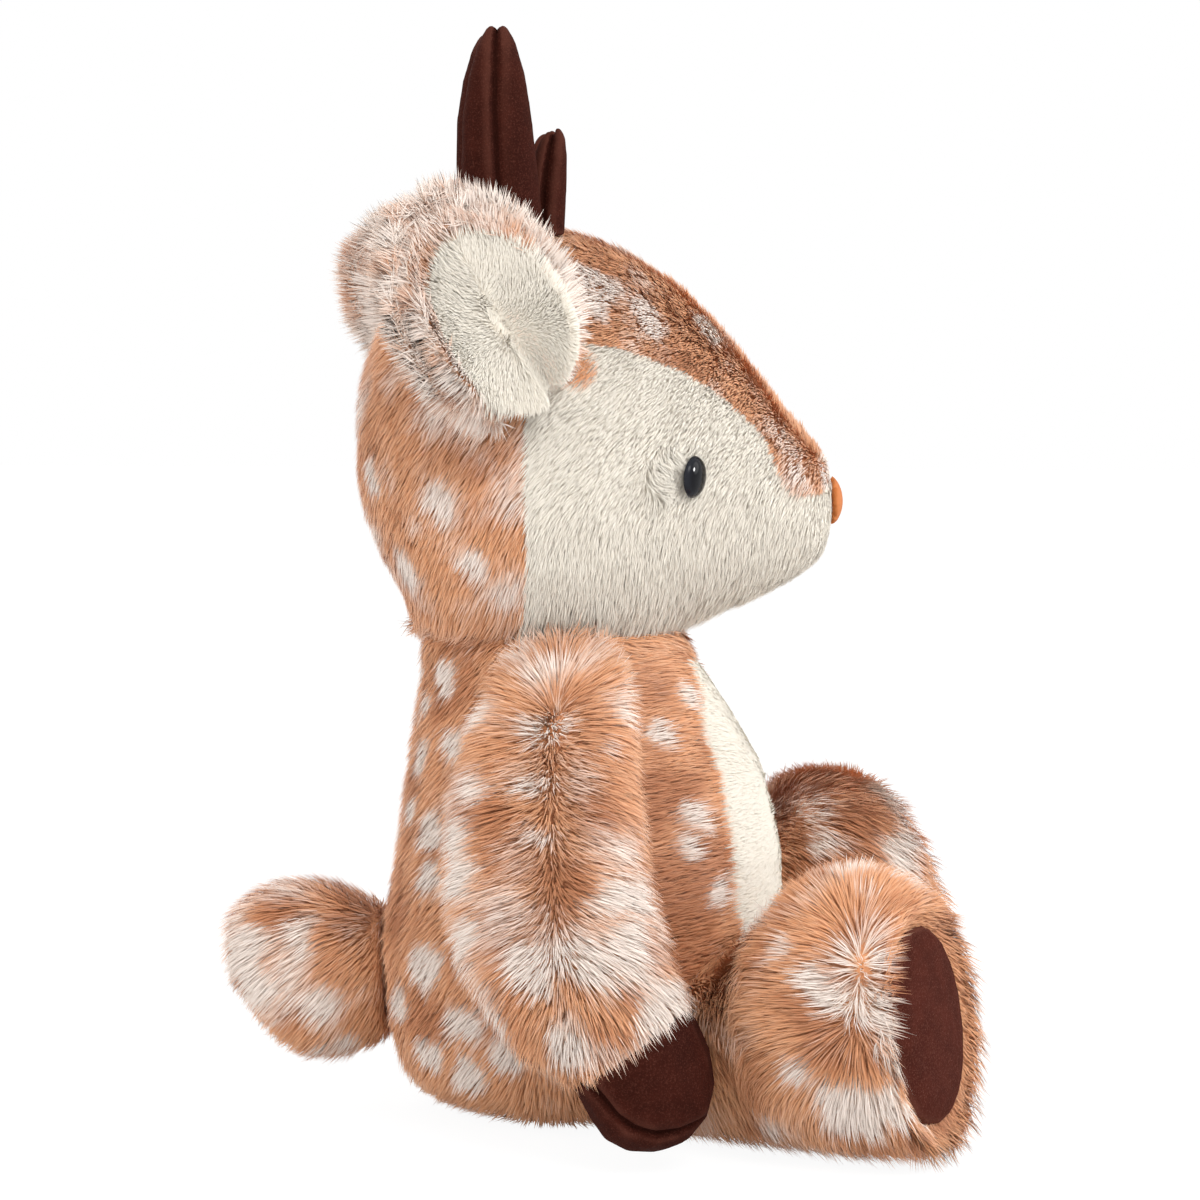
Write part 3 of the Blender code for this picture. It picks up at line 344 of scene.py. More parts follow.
class Graph:
    """Builds a node tree with plain calls. A material's graph also has its shader."""

    def __init__(self, tree):
        self.tree = tree
        self.shader = tree.nodes.get("Principled BSDF")

    def add(self, kind, settings=None, values=None, out=0):
        """A new node of that kind, with its settings and its inputs' values or links."""
        node = self.tree.nodes.new(kind)
        for name, setting in (settings or {}).items():
            setattr(node, name, setting)
        for place, value in (values or {}).items():
            if isinstance(value, Term):
                self.tree.links.new(value.socket, node.inputs[place])
            else:
                node.inputs[place].default_value = value
        return Term(self, node.outputs[out]) if len(node.outputs) else node

    def vector(self, operation, *values):
        """Vector maths on vectors."""
        return self.add("ShaderNodeVectorMath", {"operation": operation}, dict(enumerate(values)))

    def scaled(self, vector, factor):
        return self.add("ShaderNodeVectorMath", {"operation": "SCALE"}, {0: vector, "Scale": factor})

    def mix(self, factor, first, second, blend="MIX"):
        """A colour between two, or one blended onto the other."""
        settings = {"data_type": "RGBA", "blend_type": blend}
        values = {0: factor, 6: as_colour(first), 7: as_colour(second)}
        return self.add("ShaderNodeMix", settings, values, 2)

    def noise(self, vector, scale, detail=2.0, roughness=0.5, out=0):
        values = {"Vector": vector, "Scale": scale, "Detail": detail, "Roughness": roughness}
        return self.add("ShaderNodeTexNoise", None, values, out)

    def attribute(self, name, out="Fac"):
        """What a mesh attribute holds, in a material."""
        return self.add("ShaderNodeAttribute", {"attribute_name": name}, None, out)

    def named(self, name, kind="FLOAT"):
        """What a mesh attribute holds, in Geometry Nodes."""
        return self.add("GeometryNodeInputNamedAttribute", {"data_type": kind}, {"Name": name})

    def place(self):
        """Each place in the piece's own space, in a material."""
        return self.add("ShaderNodeTexCoord", None, None, "Object")

    def bump(self, strength, distance, height):
        """The normal of a surface with that height."""
        values = {"Strength": strength, "Distance": distance, "Height": height}
        return self.add("ShaderNodeBump", None, values)

    def feed(self, **inputs):
        """Links what varies over the surface to the shader."""
        for socket, term in inputs.items():
            self.tree.links.new(term.socket, self.shader.inputs[socket.replace("_", " ")])


def as_colour(value):
    """A colour with its fourth number, or a link as it is."""
    return value if isinstance(value, Term) else (*value[:3], 1.0)


def dimmed(colour, share):
    """That share of a colour's light."""
    return [channel * share for channel in colour]


def new_material(name, **constants):
    """A material with a Principled shader, and the graph that colours it."""
    material = bpy.data.materials.new(name)
    material.use_nodes = True
    graph = Graph(material.node_tree)
    for socket, value in constants.items():
        graph.shader.inputs[socket.replace("_", " ")].default_value = value
    return material, graph


def brown_mix(graph, place, along, shade):
    """Spotted brown fur: place is where the strand's root lies, and along runs from root to tip."""
    tint = colours()
    fine, broad = graph.noise(place, 900.0), graph.noise(place, 95.0, 3.0)
    # Darker patches: rust in the fur, and partly painted shade on the body beside the arms.
    rust_and_shade = (graph.attribute("dark") + (broad - 0.5) * 1.3 + (fine - 0.5) * 0.4).ramp(0.1, 0.85)
    spot = (graph.attribute("white") + (fine - 0.5) * 0.25 + (shade - 0.5) * 0.22).ramp(0.22, 0.72)
    fur = graph.mix(along.ramp(0.0, 0.5), tint.brown_root, tint.brown_tip)
    deep = graph.mix(along.ramp(0.1, 0.9), dimmed(tint.rust_and_shade, 0.8), tint.rust_and_shade)
    fur = graph.mix(rust_and_shade * 0.8, fur, graph.mix(along.ramp(0.45, 1.0) * 0.35, deep, tint.brown_tip))
    frost = (0.25 + 0.3 * shade) * (1 - rust_and_shade * 0.75)
    fur = graph.mix(along.ramp(0.55, 1.0) * frost, fur, tint.frosting)
    return graph.mix(spot, fur, graph.mix(along.ramp(0.0, 0.45), tint.frosting, tint.white))


def cream_mix(graph, place, along, shade):
    """Cream fur with a warmer root, tinted brown on the head's warm patches, and in an ear's fold as painted
    shade.
    """
    tint = colours()
    broad, warm = graph.noise(place, 60.0), graph.attribute("warm")
    colour = graph.mix(along.ramp(0.0, 0.6), tint.cream_root, tint.cream_tip)
    colour = graph.mix((broad - 0.5).ramp(0.0, 0.35) * 0.25, colour, tint.cream_root)
    # Brown tint: the head's own warm patches, and painted shade in an ear's fold.
    return graph.mix((warm + (shade - 0.5) * 0.4).ramp(0.3, 0.7), colour, tint.brown_tip)


def fur_material(name, mixer):
    """Fur whose strands differ a little in shade."""
    material, graph = new_material(
        name, Roughness=0.62, Sheen_Weight=0.12, Sheen_Roughness=0.45, Specular_IOR_Level=0.22
    )
    along, shade = graph.attribute("along"), graph.attribute("shade")
    colour = mixer(graph, graph.attribute("root", "Vector"), along, shade)
    graph.feed(Base_Color=graph.mix(1.0, colour, graph.mix(shade, LEAST_SHADE, WHITE), "MULTIPLY"))
    return material


def cloth_material(name):
    """The knitted backing that the pile grows from, brown or cream by the panel."""
    material, graph = new_material(name, Roughness=0.85, Sheen_Weight=0.2, Sheen_Roughness=0.5)
    tint = colours()
    knit = graph.noise(graph.place(), 1400.0, 1.0)
    brown = graph.mix(knit, tint.brown_root, tint.brown_tip)
    brown = graph.mix(graph.attribute("white").ramp(0.35, 0.65) * 0.6, brown, tint.brown_tip)
    pale = graph.mix(knit, tint.cream_root, tint.cream_tip)
    colour = graph.mix(graph.attribute("cream").ramp(-0.0002, 0.0002), brown, pale)
    graph.feed(Base_Color=colour, Normal=graph.bump(0.4, 0.0003, knit))
    return material


def suede_material(name, setting, strength, pale):
    """Suede or velour with a fine nap that lies in soft patches, with a painted highlight on its ridges and
    painted shade in its hollows.
    """
    material, graph = new_material(
        name, Sheen_Weight=0.06, Sheen_Roughness=0.35, Specular_IOR_Level=0.04, Sheen_Tint=(*pale, 1.0)
    )
    tint = dimmed(getattr(colours(), setting), strength)
    place = graph.place()
    nap = graph.noise(place, 1900.0, 3.0, 0.75)
    patch = graph.noise(place, 130.0, 3.0, 0.6)
    edge = graph.attribute("edge")
    colour = graph.mix(patch.ramp(0.3, 0.72), dimmed(tint, 0.72), tint)
    colour = graph.mix(nap.ramp(0.48, 0.72) * 0.55, colour, pale)
    # Painted highlight: the colour turns paler on ridges.
    colour = graph.mix(edge.ramp(0.15, 0.8) * 0.45, colour, pale)
    # Painted shade: the colour darkens in hollows and grooves.
    colour = graph.mix((0 - edge).ramp(0.1, 0.7) * 0.6, colour, dimmed(tint, 0.35))
    bump = graph.bump(0.8, 0.0004, nap + patch * 1.2)
    graph.feed(Base_Color=colour, Roughness=0.78 + nap * 0.2, Normal=bump)
    return material


def fibre_material(name):
    """Loose white filling."""
    material, graph = new_material(name, Roughness=0.95, Sheen_Weight=0.3)
    strands = graph.noise(graph.place(), 420.0, 5.0, 0.75)
    colour = graph.mix(strands, (0.72, 0.72, 0.70), (0.93, 0.93, 0.91))
    graph.feed(Base_Color=colour, Normal=graph.bump(0.8, 0.001, strands))
    return material


def bean_material(name):
    """Woven cloth of the bean bag."""
    material, graph = new_material(name, Roughness=0.9)
    values = {"Vector": graph.place(), "Scale": 900.0, "Distortion": 0.3}
    warp, weft = (graph.add("ShaderNodeTexWave", {"bands_direction": way}, values, "Fac") for way in "XY")
    weave = warp * 0.5 + weft * 0.5
    colour = graph.mix(weave, (0.34, 0.34, 0.36), (0.62, 0.62, 0.64))
    graph.feed(Base_Color=colour, Normal=graph.bump(0.5, 0.0003, weave))
    return material


def eye_material(name):
    """Moulded eye: glossy near-black, with a greyer, bluer rim that is a painted reflection, and a faint
    depth of colour.
    """
    material, graph = new_material(name, Specular_IOR_Level=0.13)
    rim, smudge = graph.attribute("rim"), graph.noise(graph.place(), 700.0, 3.0)
    # Painted reflection: the colour turns a bluer grey towards the rim.
    colour = graph.mix(rim.ramp(0.72, 1.0), colours().eye, (0.015, 0.016, 0.021))
    graph.feed(Base_Color=colour, Roughness=0.05 + smudge * 0.05 + rim.ramp(0.85, 1.0) * 0.2)
    return material


def washer_material(name):
    """Satin moulded plastic with faint flow marks."""
    material, graph = new_material(name, Specular_IOR_Level=0.45)
    flow = graph.noise(graph.place(), 500.0, 3.0)
    colour = graph.mix(flow, (0.74, 0.74, 0.72), (0.86, 0.86, 0.84))
    graph.feed(Base_Color=colour, Roughness=0.35 + flow * 0.2, Normal=graph.bump(0.2, 0.0001, flow))
    return material


MATERIALS = {
    "brown_fur": (fur_material, brown_mix),
    "cream_fur": (fur_material, cream_mix),
    "backing_cloth": (cloth_material,),
    "dark_suede": (suede_material, "suede", 1.0, (0.12, 0.040, 0.027)),
    # The sole pads' suede is the dark suede made lighter, with a paler sheen tint: a painted sheen.
    "sole_suede": (suede_material, "suede", 1.6, (0.19, 0.070, 0.048)),
    "nose_velour": (suede_material, "nose", 1.0, (0.62, 0.22, 0.055)),
    "filling_fibre": (fibre_material,),
    "bean_cloth": (bean_material,),
    "eye_gloss": (eye_material,),
    "washer_plastic": (washer_material,),
}


def material_of(key):
    """The scene's own material of that key, made once."""
    maker, *values = MATERIALS[key]
    return bpy.data.materials.get(key) or maker(key, *values)


# ---------------------------------------------------------------- meshes


def linked(name, mesh):
    """A new object at the origin with that mesh, lamp or lens."""
    piece = bpy.data.objects.new(name, mesh)
    bpy.context.scene.collection.objects.link(piece)
    return piece


def applied(piece, name, keep=False):
    """The piece with its modifiers worked in, as a plain mesh. Its own mesh goes, unless it is kept."""
    bpy.context.view_layer.update()
    shape = piece.evaluated_get(bpy.context.evaluated_depsgraph_get())
    mesh = bpy.data.meshes.new_from_object(shape)
    mesh.name = name
    old = piece.data
    bpy.data.objects.remove(piece)
    if not keep:
        bpy.data.meshes.remove(old)
    return mesh


def mesh_of(shape, name):
    """A new mesh of a worked form, which is freed."""
    mesh = bpy.data.meshes.new(name)
    shape.to_mesh(mesh)
    shape.free()
    return mesh


def outer_shell(mesh):
    """Keeps the largest closed shell of a mesh."""
    shape = bmesh.new()
    shape.from_mesh(mesh)
    seen, shells = set(), []
    for start in shape.verts:
        if start in seen:
            continue
        seen.add(start)
        shell, edge = [start], [start]
        while edge:
            here = edge.pop()
            for link in here.link_edges:
                there = link.other_vert(here)
                if there not in seen:
                    seen.add(there)
                    shell.append(there)
                    edge.append(there)
        shells.append(shell)
    shells.sort(key=len)
    loose = [vert for shell in shells[:-1] for vert in shell]
    if loose:
        bmesh.ops.delete(shape, geom=loose, context="VERTS")
    shape.to_mesh(mesh)
    shape.free()


def bridged(shape, rings):
    """Faces from each ring of vertices to the next, where a ring of one vertex is a pole."""
    for low, high in zip(rings, rings[1:]):
        for step in range(max(len(low), len(high))):
            corners = [
                low[step % len(low)], low[(step + 1) % len(low)],
                high[(step + 1) % len(high)], high[step % len(high)],
            ]
            shape.faces.new(list(dict.fromkeys(corners)))
    bmesh.ops.recalc_face_normals(shape, faces=shape.faces)


def remeshed(name, nodes, voxel, rounds, shape=None):
    """One closed, smooth form round the CAD nodes and the closed shape, if one is given."""
    shape = shape or bmesh.new()
    for node in nodes:
        shape.from_mesh(NODES[node].data)
    bmesh.ops.remove_doubles(shape, verts=shape.verts, dist=1e-6)
    piece = linked(name, mesh_of(shape, name))
    voxels = piece.modifiers.new("Voxels", "REMESH")
    voxels.mode = "VOXEL"
    voxels.voxel_size = voxel
    mesh = applied(piece, name)
    if len(mesh.vertices) == 0:
        raise RuntimeError(f"{name} has no form")
    outer_shell(mesh)
    relaxed(mesh, rounds)
    mesh.shade_smooth()
    return mesh


def edges_of(mesh):
    """The first and the second vertex of each edge, and how many edges each vertex has."""
    ends = np.empty(len(mesh.edges) * 2, np.int32)
    mesh.edges.foreach_get("vertices", ends)
    return *ends.reshape(-1, 2).T, np.bincount(ends, minlength=len(mesh.vertices)).clip(1)


def relaxed(mesh, rounds):
    """Evens a mesh out without shrinking it much: each smoothing step is partly taken back."""
    spots = coords(mesh)
    first, second, count = edges_of(mesh)
    for turn in range(rounds * 2):
        total = np.zeros_like(spots)
        np.add.at(total, first, spots[second])
        np.add.at(total, second, spots[first])
        spots += (total / count[:, None] - spots) * (-0.45 if turn % 2 else 0.5)
    moved(mesh, spots)


def evened(mesh, values, rounds):
    """One number per vertex, averaged with its neighbours'."""
    first, second, count = edges_of(mesh)
    size = len(values)
    for _ in range(rounds):
        total = np.bincount(first, values[second], size) + np.bincount(second, values[first], size)
        values = 0.5 * values + 0.5 * total / count
    return values


def moved(mesh, spots):
    """Puts the vertices at those places."""
    mesh.vertices.foreach_set("co", spots.ravel())
    mesh.update()


def rows_of(items, field):
    """Three numbers of each item, one row each."""
    values = np.empty(len(items) * 3)
    items.foreach_get(field, values)
    return values.reshape(-1, 3)


def coords(mesh):
    """The vertices' places."""
    return rows_of(mesh.vertices, "co")


def surface(mesh):
    """The vertices' places and their smooth normals."""
    return coords(mesh), unit(rows_of(mesh.vertex_normals, "vector"))


def store(mesh, name, values):
    """Puts one number or one vector on each vertex."""
    wide = values.ndim > 1
    kind, field = ("FLOAT_VECTOR", "vector") if wide else ("FLOAT", "value")
    layer = mesh.attributes.get(name) or mesh.attributes.new(name, kind, "POINT")
    layer.data.foreach_set(field, values.astype(np.float32).ravel())


def surface_of(nodes):
    """A tree of the CAD nodes' faces."""
    spots, faces = [], []
    for node in nodes:
        mesh = NODES[node].data
        mesh.calc_loop_triangles()
        base = len(spots)
        spots.extend(vert.co[:] for vert in mesh.vertices)
        faces.extend([base + corner for corner in tri.vertices] for tri in mesh.loop_triangles)
    return BVHTree.FromPolygons(spots, faces, all_triangles=True)


def distance_to(tree, spots):
    """How far each spot is from the nearest face."""
    return np.array([tree.find_nearest(Vector(spot))[3] for spot in spots])


def unit(rows):
    """Rows of length one."""
    return rows / np.linalg.norm(rows, axis=1, keepdims=True).clip(1e-9)


def soft_step(values, low, high):
    """0 up to low, 1 from high, and a soft step between."""
    part = ((values - low) / (high - low)).clip(0, 1)
    return part * part * (3 - 2 * part)


def blend(first, second, share):
    """The first value, and as much of the second as the share says."""
    return first * (1 - share) + second * share


def wandering(spots, scale):
    """A smoothly changing vector at each place, the same in every run."""
    shifts = [Vector(shift) for shift in ((9.3, -1.5, -7.9), (3.1, 7.7, 1.3), (-5.2, 2.9, 8.4))]
    return np.array([[noise.noise(Vector(spot) * scale + shift) for shift in shifts] for spot in spots])


def spot_mask(spots, table, ragged=0.6):
    """How far inside a table's spots each place is, with ragged edges."""
    mask = np.zeros(len(spots))
    wobble = np.array([noise.noise(Vector(spot) * 150) for spot in spots])
    drift, fine = wandering(spots, 110), wandering(spots, 320)
    shifted = spots + (drift * 0.0065 + fine * 0.0026) * ragged
    for *middle, radius, strength in table:
        away = np.linalg.norm(shifted - np.array(middle) * MM, axis=1) / (radius * MM)
        mask = np.maximum(mask, strength * (1 - soft_step(away + wobble * ragged * 0.7, 0.3, 1.7)))
    return mask


def scattered(spots, seed, size):
    """Soft blotches, for the sides that the photograph doesn't show."""
    shift = Vector((seed * 3.1, seed * 7.7, seed * 1.3))
    return np.array([noise.noise(Vector(spot) / size + shift) for spot in spots])


# ---------------------------------------------------------------- fur


def strand_object():
    """One strand: a thin, bowed blade of three faces, one long."""
    if "strand" in bpy.data.objects:
        return bpy.data.objects["strand"]
    mesh = bpy.data.meshes.new("strand")
    mesh.from_pydata(STRAND, [], [(0, 2, 3, 1), (2, 4, 3)])
    store(mesh, "along", np.array([0.0, 0.0, 0.5, 0.5, 1.0]))
    return linked("strand", mesh)


def fur_tree():
    """The tree that sets strands on a skin, lays them along its comb and gathers their tips."""
    name = "Combed fur"
    if name in bpy.data.node_groups:
        return bpy.data.node_groups[name]
    tree = bpy.data.node_groups.new(name, "GeometryNodeTree")
    for label, kind in (
        ("Skin", "Geometry"), ("Strand", "Object"), ("Strands per Square Metre", "Float"),
        ("Strand Width", "Float"), ("Tuft Size", "Float"), ("Gathering", "Float"), ("Disorder", "Float"),
        ("Seed", "Int"), ("Material", "Material"),
    ):
        tree.interface.new_socket(label, in_out="INPUT", socket_type=f"NodeSocket{kind}")
    tree.interface.new_socket("Fur", in_out="OUTPUT", socket_type="NodeSocketGeometry")
    graph = Graph(tree)
    given = graph.add("NodeGroupInput", None, None, "Skin")
    seed, size = given.out("Seed"), given.out("Tuft Size")
    outward, comb, shine = (graph.named(label, "FLOAT_VECTOR") for label in ("out", "comb", "shine"))
    lean, length, grow = (graph.named(label) for label in ("lean", "fur", "grow"))
    crowd = given.out("Strands per Square Metre") * graph.named("dense")
    points = graph.add(
        "GeometryNodeDistributePointsOnFaces", {"distribute_method": "RANDOM"},
        {"Mesh": given, "Density": crowd, "Seed": seed},
    )
    points = graph.add(
        "GeometryNodeDeleteGeometry", {"domain": "POINT"},
        {"Geometry": points, "Selection": grow.maths("LESS_THAN", grow, 0.0)},
    )
    place = graph.add("GeometryNodeInputPosition")
    chance = graph.add(
        "FunctionNodeRandomValue", {"data_type": "FLOAT"}, {2: 0.0, 3: 1.0, 8: seed}, 1
    )
    jolt = graph.add(
        "FunctionNodeRandomValue", {"data_type": "FLOAT_VECTOR"},
        {0: (-1.0, -1.0, -1.0), 1: WHITE, 8: seed + 11},
    )
    swirl = graph.vector("SUBTRACT", graph.noise(place, 130.0, 1.0, out="Color"), (0.5, 0.5, 0.5))
    lay = graph.vector("ADD", comb, graph.scaled(swirl, 0.5))
    aim = graph.vector(
        "ADD", graph.scaled(outward, lean.maths("COSINE", lean)), graph.scaled(lay, lean.maths("SINE", lean))
    )
    aim = graph.vector("ADD", aim, graph.scaled(jolt, given.out("Disorder")))
    tufts = graph.add(
        "ShaderNodeTexVoronoi", {"feature": "F1"}, {"Vector": graph.scaled(place, 1 / size), "Scale": 1.0},
        "Position",
    )
    pull = graph.vector("SUBTRACT", graph.scaled(tufts, size), place)
    pull = graph.scaled(pull, given.out("Gathering") / length)
    aim = graph.vector("NORMALIZE", graph.vector("ADD", aim, pull))
    face = graph.vector("ADD", shine, graph.scaled(jolt, 0.45))
    turn = graph.add(
        "FunctionNodeAxesToRotation", {"primary_axis": "Z", "secondary_axis": "Y"}, {0: aim, 1: face}
    )
    reach = length * (0.72 + 0.38 * chance)
    width = given.out("Strand Width") * (0.75 + 0.5 * chance)
    scale = graph.add("ShaderNodeCombineXYZ", None, {0: width, 1: reach, 2: reach})
    for label, kind, value in (("root", "FLOAT_VECTOR", place), ("shade", "FLOAT", chance)):
        points = graph.add(
            "GeometryNodeStoreNamedAttribute", {"data_type": kind, "domain": "POINT"},
            {"Geometry": points, "Name": label, "Value": value},
        )
    blade = graph.add("GeometryNodeObjectInfo", None, {"Object": given.out("Strand")}, "Geometry")
    fur = graph.add(
        "GeometryNodeInstanceOnPoints", None,
        {"Points": points, "Instance": blade, "Rotation": turn, "Scale": scale},
    )
    fur = graph.add("GeometryNodeRealizeInstances", None, {"Geometry": fur})
    fur = graph.add("GeometryNodeSetMaterial", None, {"Geometry": fur, "Material": given.out("Material")})
    graph.add("NodeGroupOutput", None, {"Fur": fur})
    return tree


def grown(name, skin, material, grow, strands, width, gathering, disorder):
    """Fur on the part of the skin where grow is above 0, as a plain mesh of its own."""
    setting = plush()
    store(skin, "grow", grow)
    piece = linked(name, skin)
    modifier = piece.modifiers.new("Fur", "NODES")
    modifier.node_group = fur_tree()
    share = setting.share_of_strands * 1.0
    values = {
        "Strand": strand_object(),
        "Strands per Square Metre": 1e6 * strands * share,
        "Strand Width": setting.strand_width * width / math.sqrt(share),
        "Tuft Size": setting.clump_size,
        "Gathering": gathering,
        "Disorder": disorder,
        "Seed": setting.seed + sum(map(ord, name)) % 97,
        "Material": material,
    }
    for socket in modifier.node_group.interface.items_tree:
        if socket.in_out == "INPUT" and socket.name in values:
            modifier[socket.identifier] = values[socket.name]
    return linked(name, finished_fur(applied(piece, name, keep=True), name))


def finished_fur(mesh, name):
    """Gives each strand its cell of the bake map and the skin's own normal."""
    count = len(mesh.vertices) // len(STRAND)
    if count == 0 or len(mesh.polygons) != count * 2:
        raise RuntimeError(f"{name} has no strands, or broken ones")
    print(name, "strands", count)
    spots = coords(mesh)
    spots[:, 2] = spots[:, 2].clip(FUR_BOTTOM)
    moved(mesh, spots)
    tilt = np.repeat(np.random.default_rng(5).normal(0, 0.12, (count, 3)), len(STRAND), axis=0)
    outward = unit(rows_of(mesh.attributes["shine"].data, "vector") + tilt)
    for extra in (*FUR_ONLY, "grow", "cream"):
        if extra in mesh.attributes:
            mesh.attributes.remove(mesh.attributes[extra])
    side = math.ceil(math.sqrt(count))
    rows, columns = np.divmod(np.arange(count), side)
    corner = np.stack([columns, rows], axis=1)[:, None, :]
    cell = np.array(
        [(0.1, 0.06), (0.14, 0.5), (0.86, 0.5), (0.9, 0.06), (0.14, 0.5), (0.5, 0.94), (0.86, 0.5)]
    )
    layer = mesh.uv_layers.new(name="OFBake")
    layer.data.foreach_set("uv", ((corner + cell[None]) / side).ravel())
    mesh.shade_smooth()
    mesh.normals_split_custom_set_from_vertices(outward.tolist())
    mesh.update()
    return mesh


# ---------------------------------------------------------------- how each cloth's fur lies


def swept(spots, *legs):
    """Directions that turn softly from one to the next; each leg is a weight per spot and a direction."""
    total = np.zeros_like(spots)
    for weight, direction in legs:
        total += np.asarray(weight, float).reshape(-1, 1) * np.asarray(direction, float).reshape(-1, 3)
    return unit(total)


def body_lay(spots, facing):
    """Down the back, forwards in front of the arms, and down on the tummy."""
    x, y = spots.T[:2]
    front = 1 - soft_step(y, -0.022, 0.004)
    back = soft_step(y, 0.004, 0.02)
    return swept(
        spots,
        (front, (0, -0.9, 0.22)),
        (back, (0, 0.62, -0.78)),
        (1 - front - back, (0, 0, -1)),
        (0.25, np.outer(np.sign(x) * 0.2, (1, 0, 0))),
    )


def head_lay(spots, facing):
    """Away from the nose and the eyes, back over the crown, down on the cheeks and the nape."""
    x, y, z = spots.T
    away = unit(spots - np.array(MUZZLE))
    back = soft_step(y, -0.005, 0.03)
    low = 1 - soft_step(z, 0.168, 0.196)
    crown = np.maximum(soft_step(z, 0.225, 0.245), soft_step(facing[:, 2], 0.3, 0.6)) * (1 - back)
    face = (1 - back) * (1 - low) * (1 - crown)
    over = np.zeros(len(spots))
    to_eye = np.zeros_like(spots)
    for side, _ in SIDES:
        ring, middle = eye_ring(side, spots)
        over += ring
        to_eye += ring[:, None] * unit(middle - spots)
    return swept(
        spots,
        (face * (1 - over), away * 0.55 + np.array((0, 0.25, -0.75))),
        (crown, np.outer(np.sign(x) * 0.45, (1, 0, 0)) + (0, 0.8, -0.25)),
        (back, (0, 0.42, -0.85)),
        (low * (1 - back), (0, 0.12, -1)),
        (2.0 * over, to_eye),
    )


def muzzle_tip(spots, facing, panel):
    """The crown's stripe widens over the top of the muzzle, down to the nose."""
    return panel - 0.011 * soft_step(-spots[:, 1], 0.056, 0.070) * soft_step(spots[:, 2], 0.1865, 0.1905)


def tummy_edge(spots, facing, panel):
    """The tummy's short pile runs a little past its seam, at the height of the elbows."""
    middle = soft_step(spots[:, 2], 0.045, 0.07) * (1 - soft_step(spots[:, 2], 0.118, 0.135))
    return panel + 0.0075 * middle * soft_step(-spots[:, 1], 0.02, 0.035)


def eye_ring(side, spots):
    """1 on the fur just behind and above an eye, which lies over its rim, and the eye's middle."""
    middle = coords(NODES[f"eye_{side}"].data).mean(axis=0)
    offset = spots - middle
    away = np.hypot(offset[:, 1], offset[:, 2])
    near = soft_step(away, 0.0044, 0.0052) * (1 - soft_step(away, 0.0062, 0.0110))
    behind = soft_step(offset[:, 1] + 0.35 * offset[:, 2], -0.001, 0.004)
    same = (offset[:, 0] * middle[0] > -0.02 * abs(middle[0])).astype(float)
    return near * behind * same, middle


def head_pile(spots, facing, length, lean):
    """Longer strands behind the eyes, a short pile round the nose and a shorter one over the brow."""
    for side, _ in SIDES:
        ring, _ = eye_ring(side, spots)
        length, lean = blend(length, 0.0066, ring), blend(lean, math.radians(42), ring)
    nose = coords(NODES["nose"].data).mean(axis=0)
    near = 1 - soft_step(np.linalg.norm(spots - nose, axis=1), 0.011, 0.024)
    length, lean = blend(length, np.minimum(length, 0.0026), near), blend(lean, math.radians(74), near)
    stripe = soft_step(facing[:, 2], 0.1, 0.4) * soft_step(-spots[:, 1], -0.02, 0.01)
    neck = 1 - soft_step(spots[:, 2], 0.151, 0.163)
    return blend(length * (1 - 0.3 * stripe), 0.0095, neck), blend(lean, math.radians(58), neck)


def arm_lay(sign):
    """Parted along the arm's outer line: back on one side, forwards on the other, down at the cuff."""

    def lay(spots, facing):
        y, z = spots.T[1:]
        across = soft_step(y - np.interp(z, *ARM_PARTING), -0.013, 0.013) * 2 - 1
        top = soft_step(z, 0.122, 0.150)
        cuff = 1 - soft_step(z, 0.045, 0.075)
        inner = soft_step(-facing[:, 0] * sign, 0.0, 0.5)
        return swept(
            spots,
            ((1 - inner) * across * (1.15 - 0.55 * cuff), (0, 1, 0)),
            (0.42 + 0.7 * cuff - 1.4 * top, (sign * 0.3, 0, -1)),
            (inner * 0.4, (0, 0, -1)),
        )

    return lay


def arm_pile(sign):
    """Strands that stand up along the parting."""

    def groom(spots, facing, length, lean):
        outer = soft_step(facing[:, 0] * sign, 0.2, 0.6)
        beside = np.abs(spots[:, 1] - np.interp(spots[:, 2], *ARM_PARTING))
        near = (1 - soft_step(beside, 0.002, 0.012)) * outer
        top = soft_step(spots[:, 2], 0.130, 0.142)
        length, lean = length * (1 - 0.2 * near), lean * (1 - 0.38 * near)
        return blend(length, 0.0098, top), blend(lean, math.radians(40), top)

    return groom


def leg_lay(sign, root):
    """Along the leg to the sole, and out from a parting on the ankle."""

    def lay(spots, facing):
        parting = np.tile((sign * 0.094, -0.086, 0.0), (len(spots), 1))
        parting[:, 2] = spots[:, 2].clip(0.046, 0.084)
        near = 1 - soft_step(np.linalg.norm(spots - parting, axis=1), 0.02, 0.05)
        along = unit(spots - np.array(root))
        return swept(
            spots, (near * 1.4, unit(spots - parting)), (1 - near, along * 0.75 + np.array((0, 0, -0.65)))
        )

    return lay


def tail_lay(spots, facing):
    """From the root to the tip, and down over each lobe."""
    return unit(unit(spots - np.array((0, 0.045, 0.06))) + np.array((0, 0.1, -0.35)))


